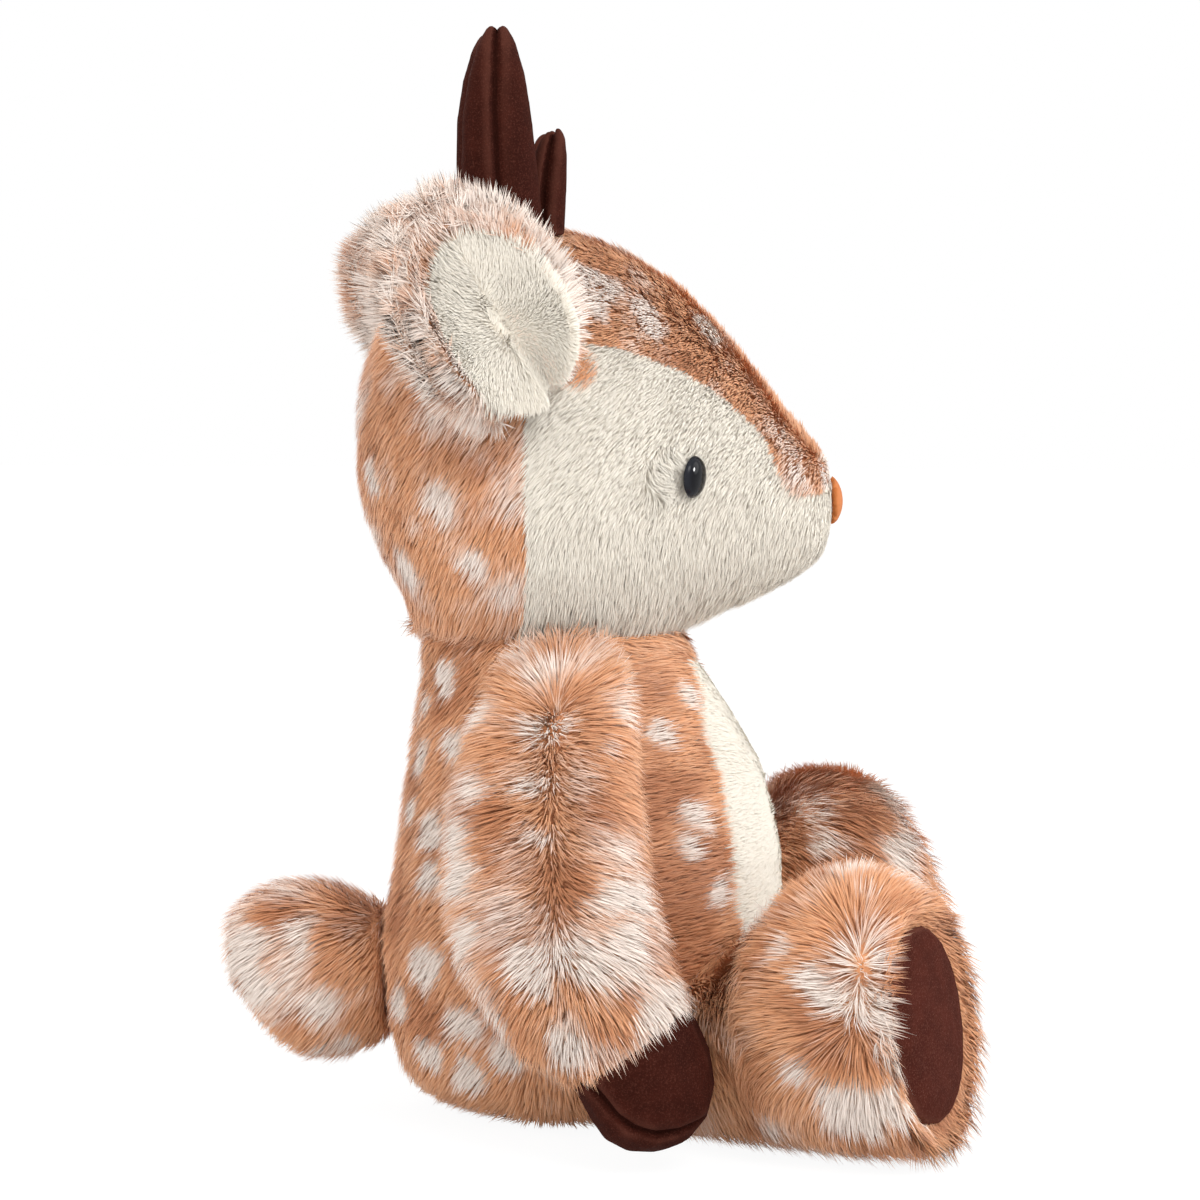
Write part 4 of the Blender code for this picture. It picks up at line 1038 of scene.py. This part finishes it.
class EarShape:
    """An ear's own directions, from its CAD nodes, and the shape of its cream roll."""

    def __init__(self, side):
        back = coords(NODES[f"ear_back_{side}"].data)
        front = coords(NODES[f"ear_front_{side}"].data)
        self.front = f"ear_front_{side}"
        self.middle = back.mean(axis=0)
        axes = np.linalg.svd(back - self.middle, full_matrices=False)[2]
        self.tip = axes[0] * np.sign((self.middle - np.array((0, 0.02, 0.20))) @ axes[0])
        self.across = axes[1] * np.sign(axes[1][1])
        self.face = axes[2] * np.sign((front.mean(axis=0) - self.middle) @ axes[2])
        self.length = np.ptp(back @ self.tip)
        self.width = np.ptp(back @ self.across)

    def plan(self, spots):
        """Each place along the ear, from -1 to 1, and across it."""
        offset = spots - self.middle
        return offset @ self.tip / (self.length / 2), offset @ self.across / (self.width / 2)

    def ring(self, along, across):
        """1 in the middle of the cream roll, 0 at its edge."""
        return 1 - np.hypot(*self.on_roll(along, across))

    @staticmethod
    def on_roll(along, across):
        """Places on the plan, measured from the roll's middle in its half sizes."""
        return (along - ROLL_MIDDLE[0]) / ROLL_SIZE[0], (across - ROLL_MIDDLE[1]) / ROLL_SIZE[1]

    def roll(self):
        """A closed, puffed roll that fills the cup, with a fold down to its lower end."""
        spots = coords(NODES[self.front].data)
        along, across = self.plan(spots)
        ring = self.ring(along, across)
        height = (spots - self.middle) @ self.face
        turn = np.arctan2(*self.on_roll(along, across)[::-1])
        tops, sector = [], 2 * math.pi / ROLL_SECTORS
        for start in [-math.pi + step * sector for step in range(ROLL_SECTORS)]:
            near = np.flatnonzero((abs(ring) < 0.14) & (turn >= start) & (turn < start + sector))
            if len(near):
                tops.append(near[height[near].argmax()])
        level = np.linalg.lstsq(self.terms(along[tops], across[tops]), height[tops], rcond=None)[0]
        shape = bmesh.new()
        rings = []
        for share in [step / ROLL_RINGS for step in range(ROLL_RINGS + 1)] + [1.0, 0.0]:
            turns = np.linspace(-math.pi, math.pi, ROLL_STEPS, endpoint=False)[: ROLL_STEPS if share else 1]
            along = np.cos(turns) * ROLL_SIZE[0] * share + ROLL_MIDDLE[0]
            across = np.sin(turns) * ROLL_SIZE[1] * share + ROLL_MIDDLE[1]
            base = self.terms(along, across) @ level
            top = base + ROLL_PUFF * math.sqrt(1 - share) - ROLL_SINK - self.fold(along, across)
            top = top if len(rings) <= ROLL_RINGS else base - ROLL_DEPTH
            places = (
                self.middle + np.outer(along * self.length / 2, self.tip)
                + np.outer(across * self.width / 2, self.across) + np.outer(top, self.face)
            )
            rings.append([shape.verts.new(place) for place in places])
        bridged(shape, rings)
        return shape

    @staticmethod
    def line(along):
        """Where the fold lies across the ear, at each place along it."""
        return -0.09 + 0.13 * along.clip(-0.67, 0.0)

    def sunk(self, spots, facing):
        """1 at the bottom of the fold, 0 beside it."""
        return (self.fold(*self.plan(spots)) / 0.007).clip(0, 1) * soft_step(facing @ self.face, -0.6, 0.0)

    def groom(self, spots, facing, length, lean):
        """Short pile in the fold."""
        return length * (1 - 0.5 * self.sunk(spots, facing)), lean

    def warmth(self, spots, facing):
        """Painted shade in the fold: strands there are tinted brown."""
        return 0.24 * self.sunk(spots, facing)

    def fold(self, along, across):
        """How far the fold sinks: steeply beside the rear half, gently from the front one."""
        line = self.line(along)
        beyond = (along - along.clip(-1.1, 0.0)) * self.length / 2
        beside = (across - line) * self.width / 2
        reach = np.hypot(beside, beyond) / np.where(beside > 0, 0.0034, 0.0105)
        lower = 0.3 + 0.7 * soft_step(-along, -0.08, 0.22)
        return lower * (FOLD_DEPTH * (1 - soft_step(reach, 0.0, 1.0)) - 0.0014 * (beside > 0) * (beyond == 0))

    @staticmethod
    def terms(along, across):
        """A curved sheet's terms at each place."""
        return np.stack([np.ones_like(along), along, across, along * across, along**2, across**2], axis=1)

    def form(self, spots, facing, panel):
        """Cream on the roll alone, inside a brown ring."""
        front = soft_step(facing @ self.face, -0.2, 0.3)
        return np.minimum(self.ring(*self.plan(spots)) * 0.016, (front - 0.5) * 0.02)

    def lay(self, spots, facing):
        """From the crease out to the rim, and along to the tip."""
        along, across = self.plan(spots)
        radial = unit(np.outer(across, self.across) + np.outer(along + 0.2, self.tip))
        outer = soft_step((facing * radial).sum(axis=1), 0.2, 0.6)
        beside = across - self.line(along)
        return swept(
            spots,
            (np.sign(beside) * np.maximum(abs(beside), 0.25), self.across),
            (along * 0.8 + 0.25, self.tip),
            (-0.9 * outer, self.face),
        )


# ---------------------------------------------------------------- skins


def others_than(nodes):
    """The other cloths and suede pieces that may press on these."""
    loose = ("stuffing", "washer", "bag", "eye", "nose", "antler")
    return [node for node in NODES if node not in nodes and not any(word in node for word in loose)]


def skin_of(
    group, brown, cream, filling, lay, pile, lean_deg, far_seed,
    voxel=0.003, rounds=3, form=None, groom=None, warmth=None, shape=None, lit=(0, 0, 0),
):
    """The backing cloth of one group of panels, with what its fur needs stored on it.

    pile and lean_deg give the strands' length and lean for brown and cream. The cloth lies in from the
    CAD surface by the pile's height. Strands that face the direction lit are shaded as if they turned
    to it."""
    mesh = remeshed(f"{group}_skin", brown + cream + filling, voxel, rounds, shape)
    spots, facing = surface(mesh)
    panel = -np.ones(len(spots))
    if cream:
        panel = distance_to(surface_of(brown), spots) - distance_to(surface_of(cream), spots)
    if form is not None:
        panel = form(spots, facing, panel)
    pale = soft_step(panel, -SEAM_HALF_WIDTH, SEAM_HALF_WIDTH)
    comb = lay(spots, facing)
    comb = unit(comb - facing * (comb * facing).sum(axis=1, keepdims=True))
    open_air = soft_step(distance_to(surface_of(others_than(brown + cream)), spots), 0.0008, 0.004)
    length = blend(*pile, pale)
    length = blend(np.minimum(length, PRESSED_PILE), length, open_air)
    lean = blend(PRESSED_LEAN, blend(*map(math.radians, lean_deg), pale), open_air)
    rise = length * np.cos(lean) * CLOTH_DEPTH
    if groom is not None:
        length, lean = groom(spots, facing, length, lean)
        rise = np.minimum(rise, length * np.cos(lean) * CLOTH_DEPTH)
    height = evened(mesh, thin_enough(mesh, spots, facing, rise), 4)
    length = length * np.minimum(1.0, height / rise.clip(1e-5) * 1.25)
    moved(mesh, spots - facing * height[:, None])
    relaxed(mesh, 1)
    facing = unit(
        np.stack([evened(mesh, part, 4) for part in rows_of(mesh.vertex_normals, "vector").T], axis=1)
    )
    shine = facing + np.outer(soft_step(facing @ lit, -0.7, 0.1), np.array(lit) * 0.9) + (0, 0, 0.12)
    shine[:, 0] += 0.4 * (spots[:, 0] / 0.012).clip(-1, 1) * soft_step(facing[:, 2], 0.2, 0.6)
    seat = soft_step(-facing[:, 2], 0.6, 0.9) * (1 - soft_step(spots[:, 2], 0.003, 0.009))
    hidden = HIDDEN_SHARE_LOST * np.maximum(1 - open_air, seat)
    crowd = (DENSITY_PILE / length.clip(0.002)).clip(0.8, 2.6) ** 0.8 * (1 - hidden)
    drift = PALENESS[group.split("_")[0]] + 0.5 * scattered(spots, far_seed + 40, DRIFT_SIZE)
    blotch = 0.25 + 0.8 * scattered(spots, far_seed, BLOTCH_SIZE)
    # On an ear the warm tint is painted shade in the fold; on the head the warm spots are the fur's own
    # colour.
    warm = spot_mask(spots, WARM_SPOTS.get(group, ()), 0.2) if warmth is None else warmth(spots, facing)
    for name, values in (
        ("out", facing), ("shine", unit(shine)), ("comb", comb), ("fur", length), ("lean", lean),
        ("dense", crowd), ("cream", panel), ("warm", warm),
        ("white", np.maximum(spot_mask(spots, WHITE_SPOTS.get(group, ())), drift)),
        ("dark", np.maximum(spot_mask(spots, DARK_SPOTS.get(group, ())), blotch)),
    ):
        store(mesh, name, values)
    return mesh, spots, panel


def thin_enough(mesh, spots, facing, rise):
    """How far each place of a cloth can move in without meeting its other side."""
    height = rise.copy()
    start_in = 2e-4
    inside = BVHTree.FromPolygons(
        [tuple(spot) for spot in spots], [list(face.vertices) for face in mesh.polygons]
    )
    for place, (spot, way) in enumerate(zip(spots, facing)):
        start = Vector(spot) - Vector(way) * start_in
        far = inside.ray_cast(start, -Vector(way), THICKEST)[3]
        if far is not None:
            height[place] = min(height[place], SHARE_OF_WAY * (far + start_in))
    return height


def painted(piece, key):
    """Gives a piece one material."""
    piece.data.materials.clear()
    piece.data.materials.append(material_of(key))


def placed(piece, body, nodes, key=None):
    """Parents a piece to the empty of the body that it rides on and hides the CAD nodes that it stands for; a
    key gives it that material.
    """
    if key is not None:
        painted(piece, key)
    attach(piece, body)
    if nodes:
        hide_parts(*nodes)


def furred(group, brown, cream, *lie, coats, **more):
    """A group's backing cloth and its coats of fur, as pieces that ride on the body of that name.

    lie and more go to skin_of. Each coat is its name's ending, the cloth's colour, its half (-1 right,
    1 left, 0 both), the strands per mm², their width, how they gather and their disorder."""
    skin, spots, panel = skin_of(group, brown, cream, *lie, **more)
    keep = skin.copy()
    for extra in FUR_ONLY:
        keep.attributes.remove(keep.attributes[extra])
    placed(linked(f"{group}_cloth", keep), group, brown + cream, "backing_cloth")
    for ending, colour, half, *looks in coats:
        mask, nodes = (panel, cream) if colour == "cream" else (-panel, brown)
        if half:
            mask = np.minimum(mask, half * spots[:, 0])
        coat = grown(f"{group}_{ending}", skin, material_of(f"{colour}_fur"), mask, *looks)
        placed(coat, group, nodes)
    bpy.data.meshes.remove(skin)


def halves(ending, colour, *looks):
    """The right and the left half of a coat."""
    return [(f"{ending}_{side}", colour, sign, *looks) for side, sign in SIDES]


# ---------------------------------------------------------------- operators


class DEER_OT_body(bpy.types.Operator):
    """Body: spotted brown fur round a short, smooth cream tummy"""

    bl_idname = "deer.body"
    bl_label = "Body"

    def execute(self, context):
        size = plush()
        coats = [*halves("fur", "brown", 3.7, 0.95, 0.25, 0.2), ("tummy_fur", "cream", 0, 3.2, 1.0, 0.1, 0.1)]
        furred(
            "body", ["body_plush"], ["tummy_panel"], ["body_stuffing"], body_lay,
            (size.pile_body, size.pile_tummy), (58, 66), 1, coats=coats, form=tummy_edge,
        )
        return {"FINISHED"}


class DEER_OT_head(bpy.types.Operator):
    """Head: a brown crown and nape, and a short, dense cream face"""

    bl_idname = "deer.head"
    bl_label = "Head"

    def execute(self, context):
        size = plush()
        coats = halves("crown_fur", "brown", 3.9, 0.9, 0.2, 0.12)
        coats += halves("face_fur", "cream", 4.9, 0.74, 0.05, 0.09)
        furred(
            "head", ["head_plush"], ["face_patch"], ["head_stuffing"], head_lay,
            (size.pile_body * 0.9, size.pile_face * 0.9), (60, 62), 2,
            coats=coats, form=muzzle_tip, groom=head_pile,
        )
        return {"FINISHED"}


class DEER_OT_ears(bpy.types.Operator):
    """Ears: cream inside with a fold, and a spotted brown ring and back"""

    bl_idname = "deer.ears"
    bl_label = "Ears"

    def execute(self, context):
        size = plush()
        coats = (
            ("back_fur", "brown", 0, 4.6, 0.9, 0.2, 0.18), ("inner_fur", "cream", 0, 5.4, 0.7, 0.05, 0.12)
        )
        for side, sign in SIDES:
            ear = EarShape(side)
            furred(
                f"ear_{side}", [f"ear_back_{side}"], [f"ear_front_{side}"], [], ear.lay,
                (size.pile_body * 1.15, size.pile_ear * 0.7), (55, 62), 3 + sign, 0.0012, 5,
                coats=coats, form=ear.form, groom=ear.groom, warmth=ear.warmth, shape=ear.roll(),
                lit=(sign, 0, 0.35),
            )
        return {"FINISHED"}


class DEER_OT_arms(bpy.types.Operator):
    """Arms: long spotted fur that parts down the outer side and hangs over the hoof"""

    bl_idname = "deer.arms"
    bl_label = "Arms"

    def execute(self, context):
        pile = plush().pile_limb
        for side, sign in SIDES:
            furred(
                f"arm_{side}", [f"arm_plush_{side}"], [], [f"arm_stuffing_{side}"], arm_lay(sign),
                (pile * 1.1, pile), (56, 56), 5 + sign,
                coats=[("fur", "brown", 0, 4.8, 0.9, 0.3, 0.22)], groom=arm_pile(sign),
            )
        return {"FINISHED"}


class DEER_OT_legs(bpy.types.Operator):
    """Legs: long spotted fur that parts on the ankle and rings the sole pad"""

    bl_idname = "deer.legs"
    bl_label = "Legs"

    def execute(self, context):
        pile = plush().pile_limb
        roots = (-0.045, -0.02, 0.05), (0.045, -0.03, 0.055)
        for (side, sign), root in zip(SIDES, roots):
            furred(
                f"leg_{side}", [f"leg_plush_{side}"], [], [f"leg_stuffing_{side}"], leg_lay(sign, root),
                (pile, pile), (58, 58), 8 + sign, coats=[("fur", "brown", 0, 4.2, 0.9, 0.3, 0.2)],
            )
        return {"FINISHED"}


class DEER_OT_tail(bpy.types.Operator):
    """Tail: long spotted fur on two lobes"""

    bl_idname = "deer.tail"
    bl_label = "Tail"

    def execute(self, context):
        pile = plush().pile_limb
        furred(
            "tail", ["tail_plush"], [], ["tail_stuffing"], tail_lay, (pile, pile), (58, 58), 12, 0.0028,
            coats=[("fur", "brown", 0, 4.0, 0.95, 0.25, 0.17)],
        )
        return {"FINISHED"}


class DEER_OT_fillings(bpy.types.Operator):
    """Fillings and the bean bag inside the cloths"""

    bl_idname = "deer.fillings"
    bl_label = "Fillings"

    def execute(self, context):
        for body, nodes in frame["record"]["behaviour"]["bodies"].items():
            for node in nodes:
                if node == "seat_bean_bag":
                    inside(node, body, "bean_cloth", "bean_cloth", 0.0025, 0.0006, 0.0005, 90)
                elif "stuffing" in node:
                    inside(node, body, "filling", "filling_fibre", 0.004, 0.0034, 0.0012, 60)
        return {"FINISHED"}


def inside(node, body, slot, key, voxel, inset, lumps, scale):
    """A soft filling that stands for its CAD solid: a little smaller, and lumpy."""
    mesh = remeshed(f"{node}_soft", [node], voxel, 3)
    spots, facing = surface(mesh)
    lump = np.array([noise.noise(Vector(spot) * scale * 1.5) for spot in spots])
    moved(mesh, spots - facing * (inset + lumps * (0.5 - lump))[:, None])
    placed(linked(f"{node}_soft", mesh), body, [node], key)


def bell(values, width):
    """1 at 0, falling softly to 0 beyond the width."""
    return np.exp(-((values / width) ** 2))


def seamed(spots, facing):
    """An antler's seam: a groove up the middle of both its sides, and a cleft over its tip."""
    low, high = spots[:, 2].min(), spots[:, 2].max()
    steps = np.linspace(low, high, 16)
    middles = []
    for step in steps:
        row = spots[np.abs(spots[:, 2] - step) < 0.004]
        middles.append((row[:, 1].min() + row[:, 1].max()) / 2)
    beside = spots[:, 1] - np.interp(spots[:, 2], steps, middles)
    groove, swell = bell(beside, 0.0009), bell(np.abs(beside) - 0.003, 0.002)
    tip = soft_step(spots[:, 2], high - 0.008, high)
    return spots + facing * (swell * 0.0004 - groove * (0.0011 + 0.0012 * tip))[:, None]


def cleft(spots, facing):
    """A hoof's seam: a groove along its lower edge, between its large lobe and its narrow one."""
    path = np.array(HOOF_SEAM) * MM
    flat = spots[:, 1:]
    nearest = np.full(len(spots), 1.0)
    for first, second in zip(path, path[1:]):
        step = second - first
        share = ((flat - first) @ step / (step @ step)).clip(0, 1)
        gap = np.linalg.norm(flat - first - share[:, None] * step, axis=1)
        nearest = np.minimum(nearest, gap)
    groove, swell = bell(nearest, 0.0010), bell(nearest - 0.0034, 0.0022)
    side = soft_step(np.abs(facing[:, 0]), 0.15, 0.5)
    return spots + facing * ((swell * 0.0006 - groove * 0.0019) * side)[:, None]


def rigid_form(node, name, voxel, rounds):
    """A smooth form of a CAD node that keeps its grooves, with its ridges and hollows marked for the suede's
    painted highlights and painted shade.
    """
    mesh = remeshed(name, [node], voxel, rounds)
    spots, facing = surface(mesh)
    carve = {"antler": seamed, "hoof": cleft}.get(node.split("_")[0])
    if carve is not None:
        spots = carve(spots, facing)
        moved(mesh, spots)
        facing = surface(mesh)[1]
    first, second, count = edges_of(mesh)
    way = unit(spots[second] - spots[first])
    bend = ((facing[second] - facing[first]) * way).sum(axis=1)
    total = np.bincount(first, bend, len(spots)) + np.bincount(second, bend, len(spots))
    # How the surface bends at each place: the suede paints highlights on ridges and shade in hollows from it.
    store(mesh, "edge", evened(mesh, total / count, 3) * (RIDGE_VOXEL / voxel) * 3)
    return mesh


class DEER_OT_suede(bpy.types.Operator):
    """Suede pieces: antlers with their branches, hooves and sole pads"""

    bl_idname = "deer.suede"
    bl_label = "Suede pieces"

    def execute(self, context):
        for side, _ in SIDES:
            for node, body, voxel, rounds, key, fill in (
                (f"antler_{side}", "head", 0.0008, 45, "dark_suede", None),
                (f"antler_branch_{side}", "head", 0.0007, 35, "dark_suede", None),
                (f"hoof_{side}", f"arm_{side}", 0.0009, 10, "dark_suede", None),
                # The sole pads take the lighter copy of the suede, as painted sheen.
                (f"sole_pad_{side}", f"leg_{side}", 0.0012, 8, "sole_suede", 0.9),
            ):
                mesh = rigid_form(node, f"{node}_suede", voxel, rounds)
                placed(linked(f"{node}_suede", mesh), body, [node], key)
        return {"FINISHED"}


def symmetry_axis(spots, outwards):
    """The axis of a turned form and its middle, pointing outwards."""
    middle = spots.mean(axis=0)
    spread, axes = np.linalg.eigh(np.cov((spots - middle).T))
    odd = 0 if abs(spread[1] - spread[0]) > abs(spread[2] - spread[1]) else 2
    axis = axes[:, odd]
    return middle, axis * np.sign(axis @ outwards)


def turned(name, profile, origin, axis, segments=56):
    """A lathed, closed solid: profile is (along the axis, radius), from its back to its front."""
    axis = Vector(axis).normalized()
    across = axis.orthogonal().normalized()
    beside = axis.cross(across)
    shape = bmesh.new()
    rings = []
    for along, radius in profile:
        middle = Vector(origin) + axis * along
        ring = []
        for step in range(segments if radius > 1e-7 else 1):
            angle = 2 * math.pi * step / segments
            way = across * math.cos(angle) + beside * math.sin(angle)
            ring.append(shape.verts.new(middle + way * radius))
        rings.append(ring)
    bridged(shape, rings)
    mesh = mesh_of(shape, name)
    mesh.shade_smooth()
    return mesh


class DEER_OT_eyes(bpy.types.Operator):
    """Safety eyes: a glossy dome on a ribbed shank, and the washer that holds it"""

    bl_idname = "deer.eyes"
    bl_label = "Eyes"

    def execute(self, context):
        for side, sign in SIDES:
            spots = coords(NODES[f"eye_{side}"].data)
            middle, axis = symmetry_axis(spots, np.array((sign, -0.3, 0)))
            along = (spots - middle) @ axis
            wide = np.linalg.norm(spots - middle - along[:, None] * axis, axis=1)
            radius, front, back = wide.max(), along.max(), along.min()
            rim = along[wide > radius * 0.98].min()
            shank = wide[along < back + 0.001].max()
            groove, ribbed = shank * RIB_GROOVE, rim - back - 0.0016
            profile = [(back, 0), (back, shank * 0.7), (back + 0.0006, shank)]
            for rib in range(RIBS):
                start, pitch = back + 0.0012 + ribbed * rib / RIBS, ribbed / RIBS
                profile += [(start, shank), (start + pitch * 0.35, groove), (start + pitch * 0.7, groove)]
            profile += [(rim - 0.0002, groove), (rim, shank * 1.02), (rim, radius * 0.9)]
            for step in range(16):
                angle = math.pi / 2 * step / 16
                height = math.sin(angle) * (front - rim - EYE_LIP)
                profile.append((rim + EYE_LIP + height, radius * math.cos(angle) ** 0.92))
            profile.append((front, 0))
            mesh = turned(f"eye_{side}_dome", profile, middle, axis)
            place = coords(mesh) - middle
            height = place @ axis
            out = np.linalg.norm(place - height[:, None] * axis, axis=1) / radius
            # How far out from the axis each place is; the eye's material paints a reflection on the rim from
            # it.
            store(mesh, "rim", out.clip(0, 1))
            dome = height > rim - 0.0001
            turn = np.array(Matrix.Rotation(-sign * EYE_TURN, 3, "Z"))
            base = axis * rim
            place[dome] = (place[dome] - base) @ turn.T + base
            moved(mesh, place + middle)
            eye = linked(f"eye_{side}_dome", mesh)
            placed(eye, "head", [f"eye_{side}"], "eye_gloss")
            painted(NODES[f"eye_washer_{side}"], "washer_plastic")
        return {"FINISHED"}


class DEER_OT_nose(bpy.types.Operator):
    """Nose: a shaved amber velour dome"""

    bl_idname = "deer.nose"
    bl_label = "Nose"

    def execute(self, context):
        mesh = rigid_form("nose", "nose_dome", 0.0006, 5)
        spots, facing = surface(mesh)
        puff = NOSE_PUFF * soft_step(-facing[:, 1], -0.2, 0.5)
        moved(mesh, spots + facing * puff[:, None])
        placed(linked("nose_dome", mesh), "head", ["nose"], "nose_velour")
        return {"FINISHED"}


def seen_ray(graph):
    """Above 0 for rays from the camera, from gloss and through glass."""
    ray = graph.add("ShaderNodeLightPath", None, None, "Is Camera Ray")
    return ray + ray.out("Is Glossy Ray") + ray.out("Is Transmission Ray")


class DEER_OT_stage(bpy.types.Operator):
    """Pale floor, soft lamps, white surroundings and the camera"""

    bl_idname = "deer.stage"
    bl_label = "Stage"

    def execute(self, context):
        self.add_floor()
        self.add_world(context.scene)
        self.add_lamps()
        self.add_camera(context.scene)
        return {"FINISHED"}

    def add_floor(self):
        """White paper that glows where the camera sees it, so that only the shadow shows."""
        shape = bmesh.new()
        bmesh.ops.create_grid(shape, x_segments=8, y_segments=8, size=3.0)
        mesh = mesh_of(shape, "floor")
        floor = linked("floor", mesh)
        floor.location.z = -0.0004
        material, graph = new_material("floor_paper", Roughness=0.9, Specular_IOR_Level=0.1)
        grain = graph.noise(graph.place(), 300.0, 3.0)
        graph.feed(Base_Color=graph.mix(grain, (0.80, 0.80, 0.80), (0.84, 0.84, 0.84)))
        glow = graph.add("ShaderNodeEmission", None, {"Color": (*WHITE, 1), "Strength": 1.09})
        paper = Term(graph, graph.shader.outputs[0])
        paper = graph.add("ShaderNodeMixShader", None, {0: seen_ray(graph) * 0.86, 1: paper, 2: glow})
        output = material.node_tree.nodes["Material Output"]
        material.node_tree.links.new(paper.socket, output.inputs["Surface"])
        mesh.materials.append(material)

    def add_world(self, scene):
        """White surroundings, a little dimmer as a light than as a backdrop."""
        scene.world = bpy.data.worlds.new("studio")
        scene.world.use_nodes = True
        graph = Graph(scene.world.node_tree)
        backdrop = graph.tree.nodes["Background"]
        backdrop.inputs["Color"].default_value = (*WHITE, 1)
        strength = 0.70 + seen_ray(graph).ramp(0.0, 1.0) * 0.30
        graph.tree.links.new(strength.socket, backdrop.inputs["Strength"])

    def add_lamps(self):
        """Soft round lamps that face the deer."""
        for name, place, size, power in LAMPS:
            lamp = bpy.data.lights.new(name, "AREA")
            lamp.shape = "DISK"
            lamp.size = size
            lamp.energy = power
            holder = linked(name, lamp)
            holder.visible_diffuse = name != "spark"
            holder.location = place
            aim = Vector((0, 0, 0.14)) - Vector(place)
            holder.rotation_euler = aim.to_track_quat("-Z", "Y").to_euler()

    def add_camera(self, scene):
        lens = bpy.data.cameras.new("camera")
        lens.sensor_width = 36.0
        lens.lens = LENS
        lens.clip_start = 0.05
        camera = linked("camera", lens)
        level = math.cos(ELEVATION)
        away = Vector((math.sin(AZIMUTH) * level, -math.cos(AZIMUTH) * level, math.sin(ELEVATION)))
        camera.location = Vector(TARGET) + away * DISTANCE
        camera.rotation_euler = (-away).to_track_quat("-Z", "Y").to_euler()
        scene.camera = camera
        scene.view_settings.view_transform = "Standard"


class DEER_PT_panel(bpy.types.Panel):
    """The deer's pieces in the order that they are made"""

    bl_label = "Plush Deer"
    bl_idname = "DEER_PT_panel"
    bl_space_type = "VIEW_3D"
    bl_region_type = "UI"
    bl_category = "Plush Deer"

    def draw(self, context):
        layout = self.layout
        for settings in (plush(), colours()):
            box = layout.box()
            for name in settings.__annotations__:
                box.prop(settings, name)
        for operator in PIECES:
            layout.operator(operator.bl_idname)


PIECES = (
    DEER_OT_body, DEER_OT_head, DEER_OT_ears, DEER_OT_arms, DEER_OT_legs, DEER_OT_tail, DEER_OT_suede,
    DEER_OT_eyes, DEER_OT_nose, DEER_OT_fillings, DEER_OT_stage,
)
CLASSES = (PlushSettings, PlushColours, *PIECES, DEER_PT_panel)


def register():
    for entry in CLASSES:
        bpy.utils.register_class(entry)
    bpy.types.Scene.deer_plush = PointerProperty(type=PlushSettings)
    bpy.types.Scene.deer_colours = PointerProperty(type=PlushColours)


def unregister():
    del bpy.types.Scene.deer_colours
    del bpy.types.Scene.deer_plush
    for entry in reversed(CLASSES):
        bpy.utils.unregister_class(entry)


def main():
    """Makes the deer."""
    register()
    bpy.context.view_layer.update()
    for operator in PIECES:
        family, name = operator.bl_idname.split(".")
        getattr(getattr(bpy.ops, family), name)()
    strand = bpy.data.objects.get("strand")
    if strand is not None:
        bpy.data.objects.remove(strand)


if __name__ == "__main__":
    main()
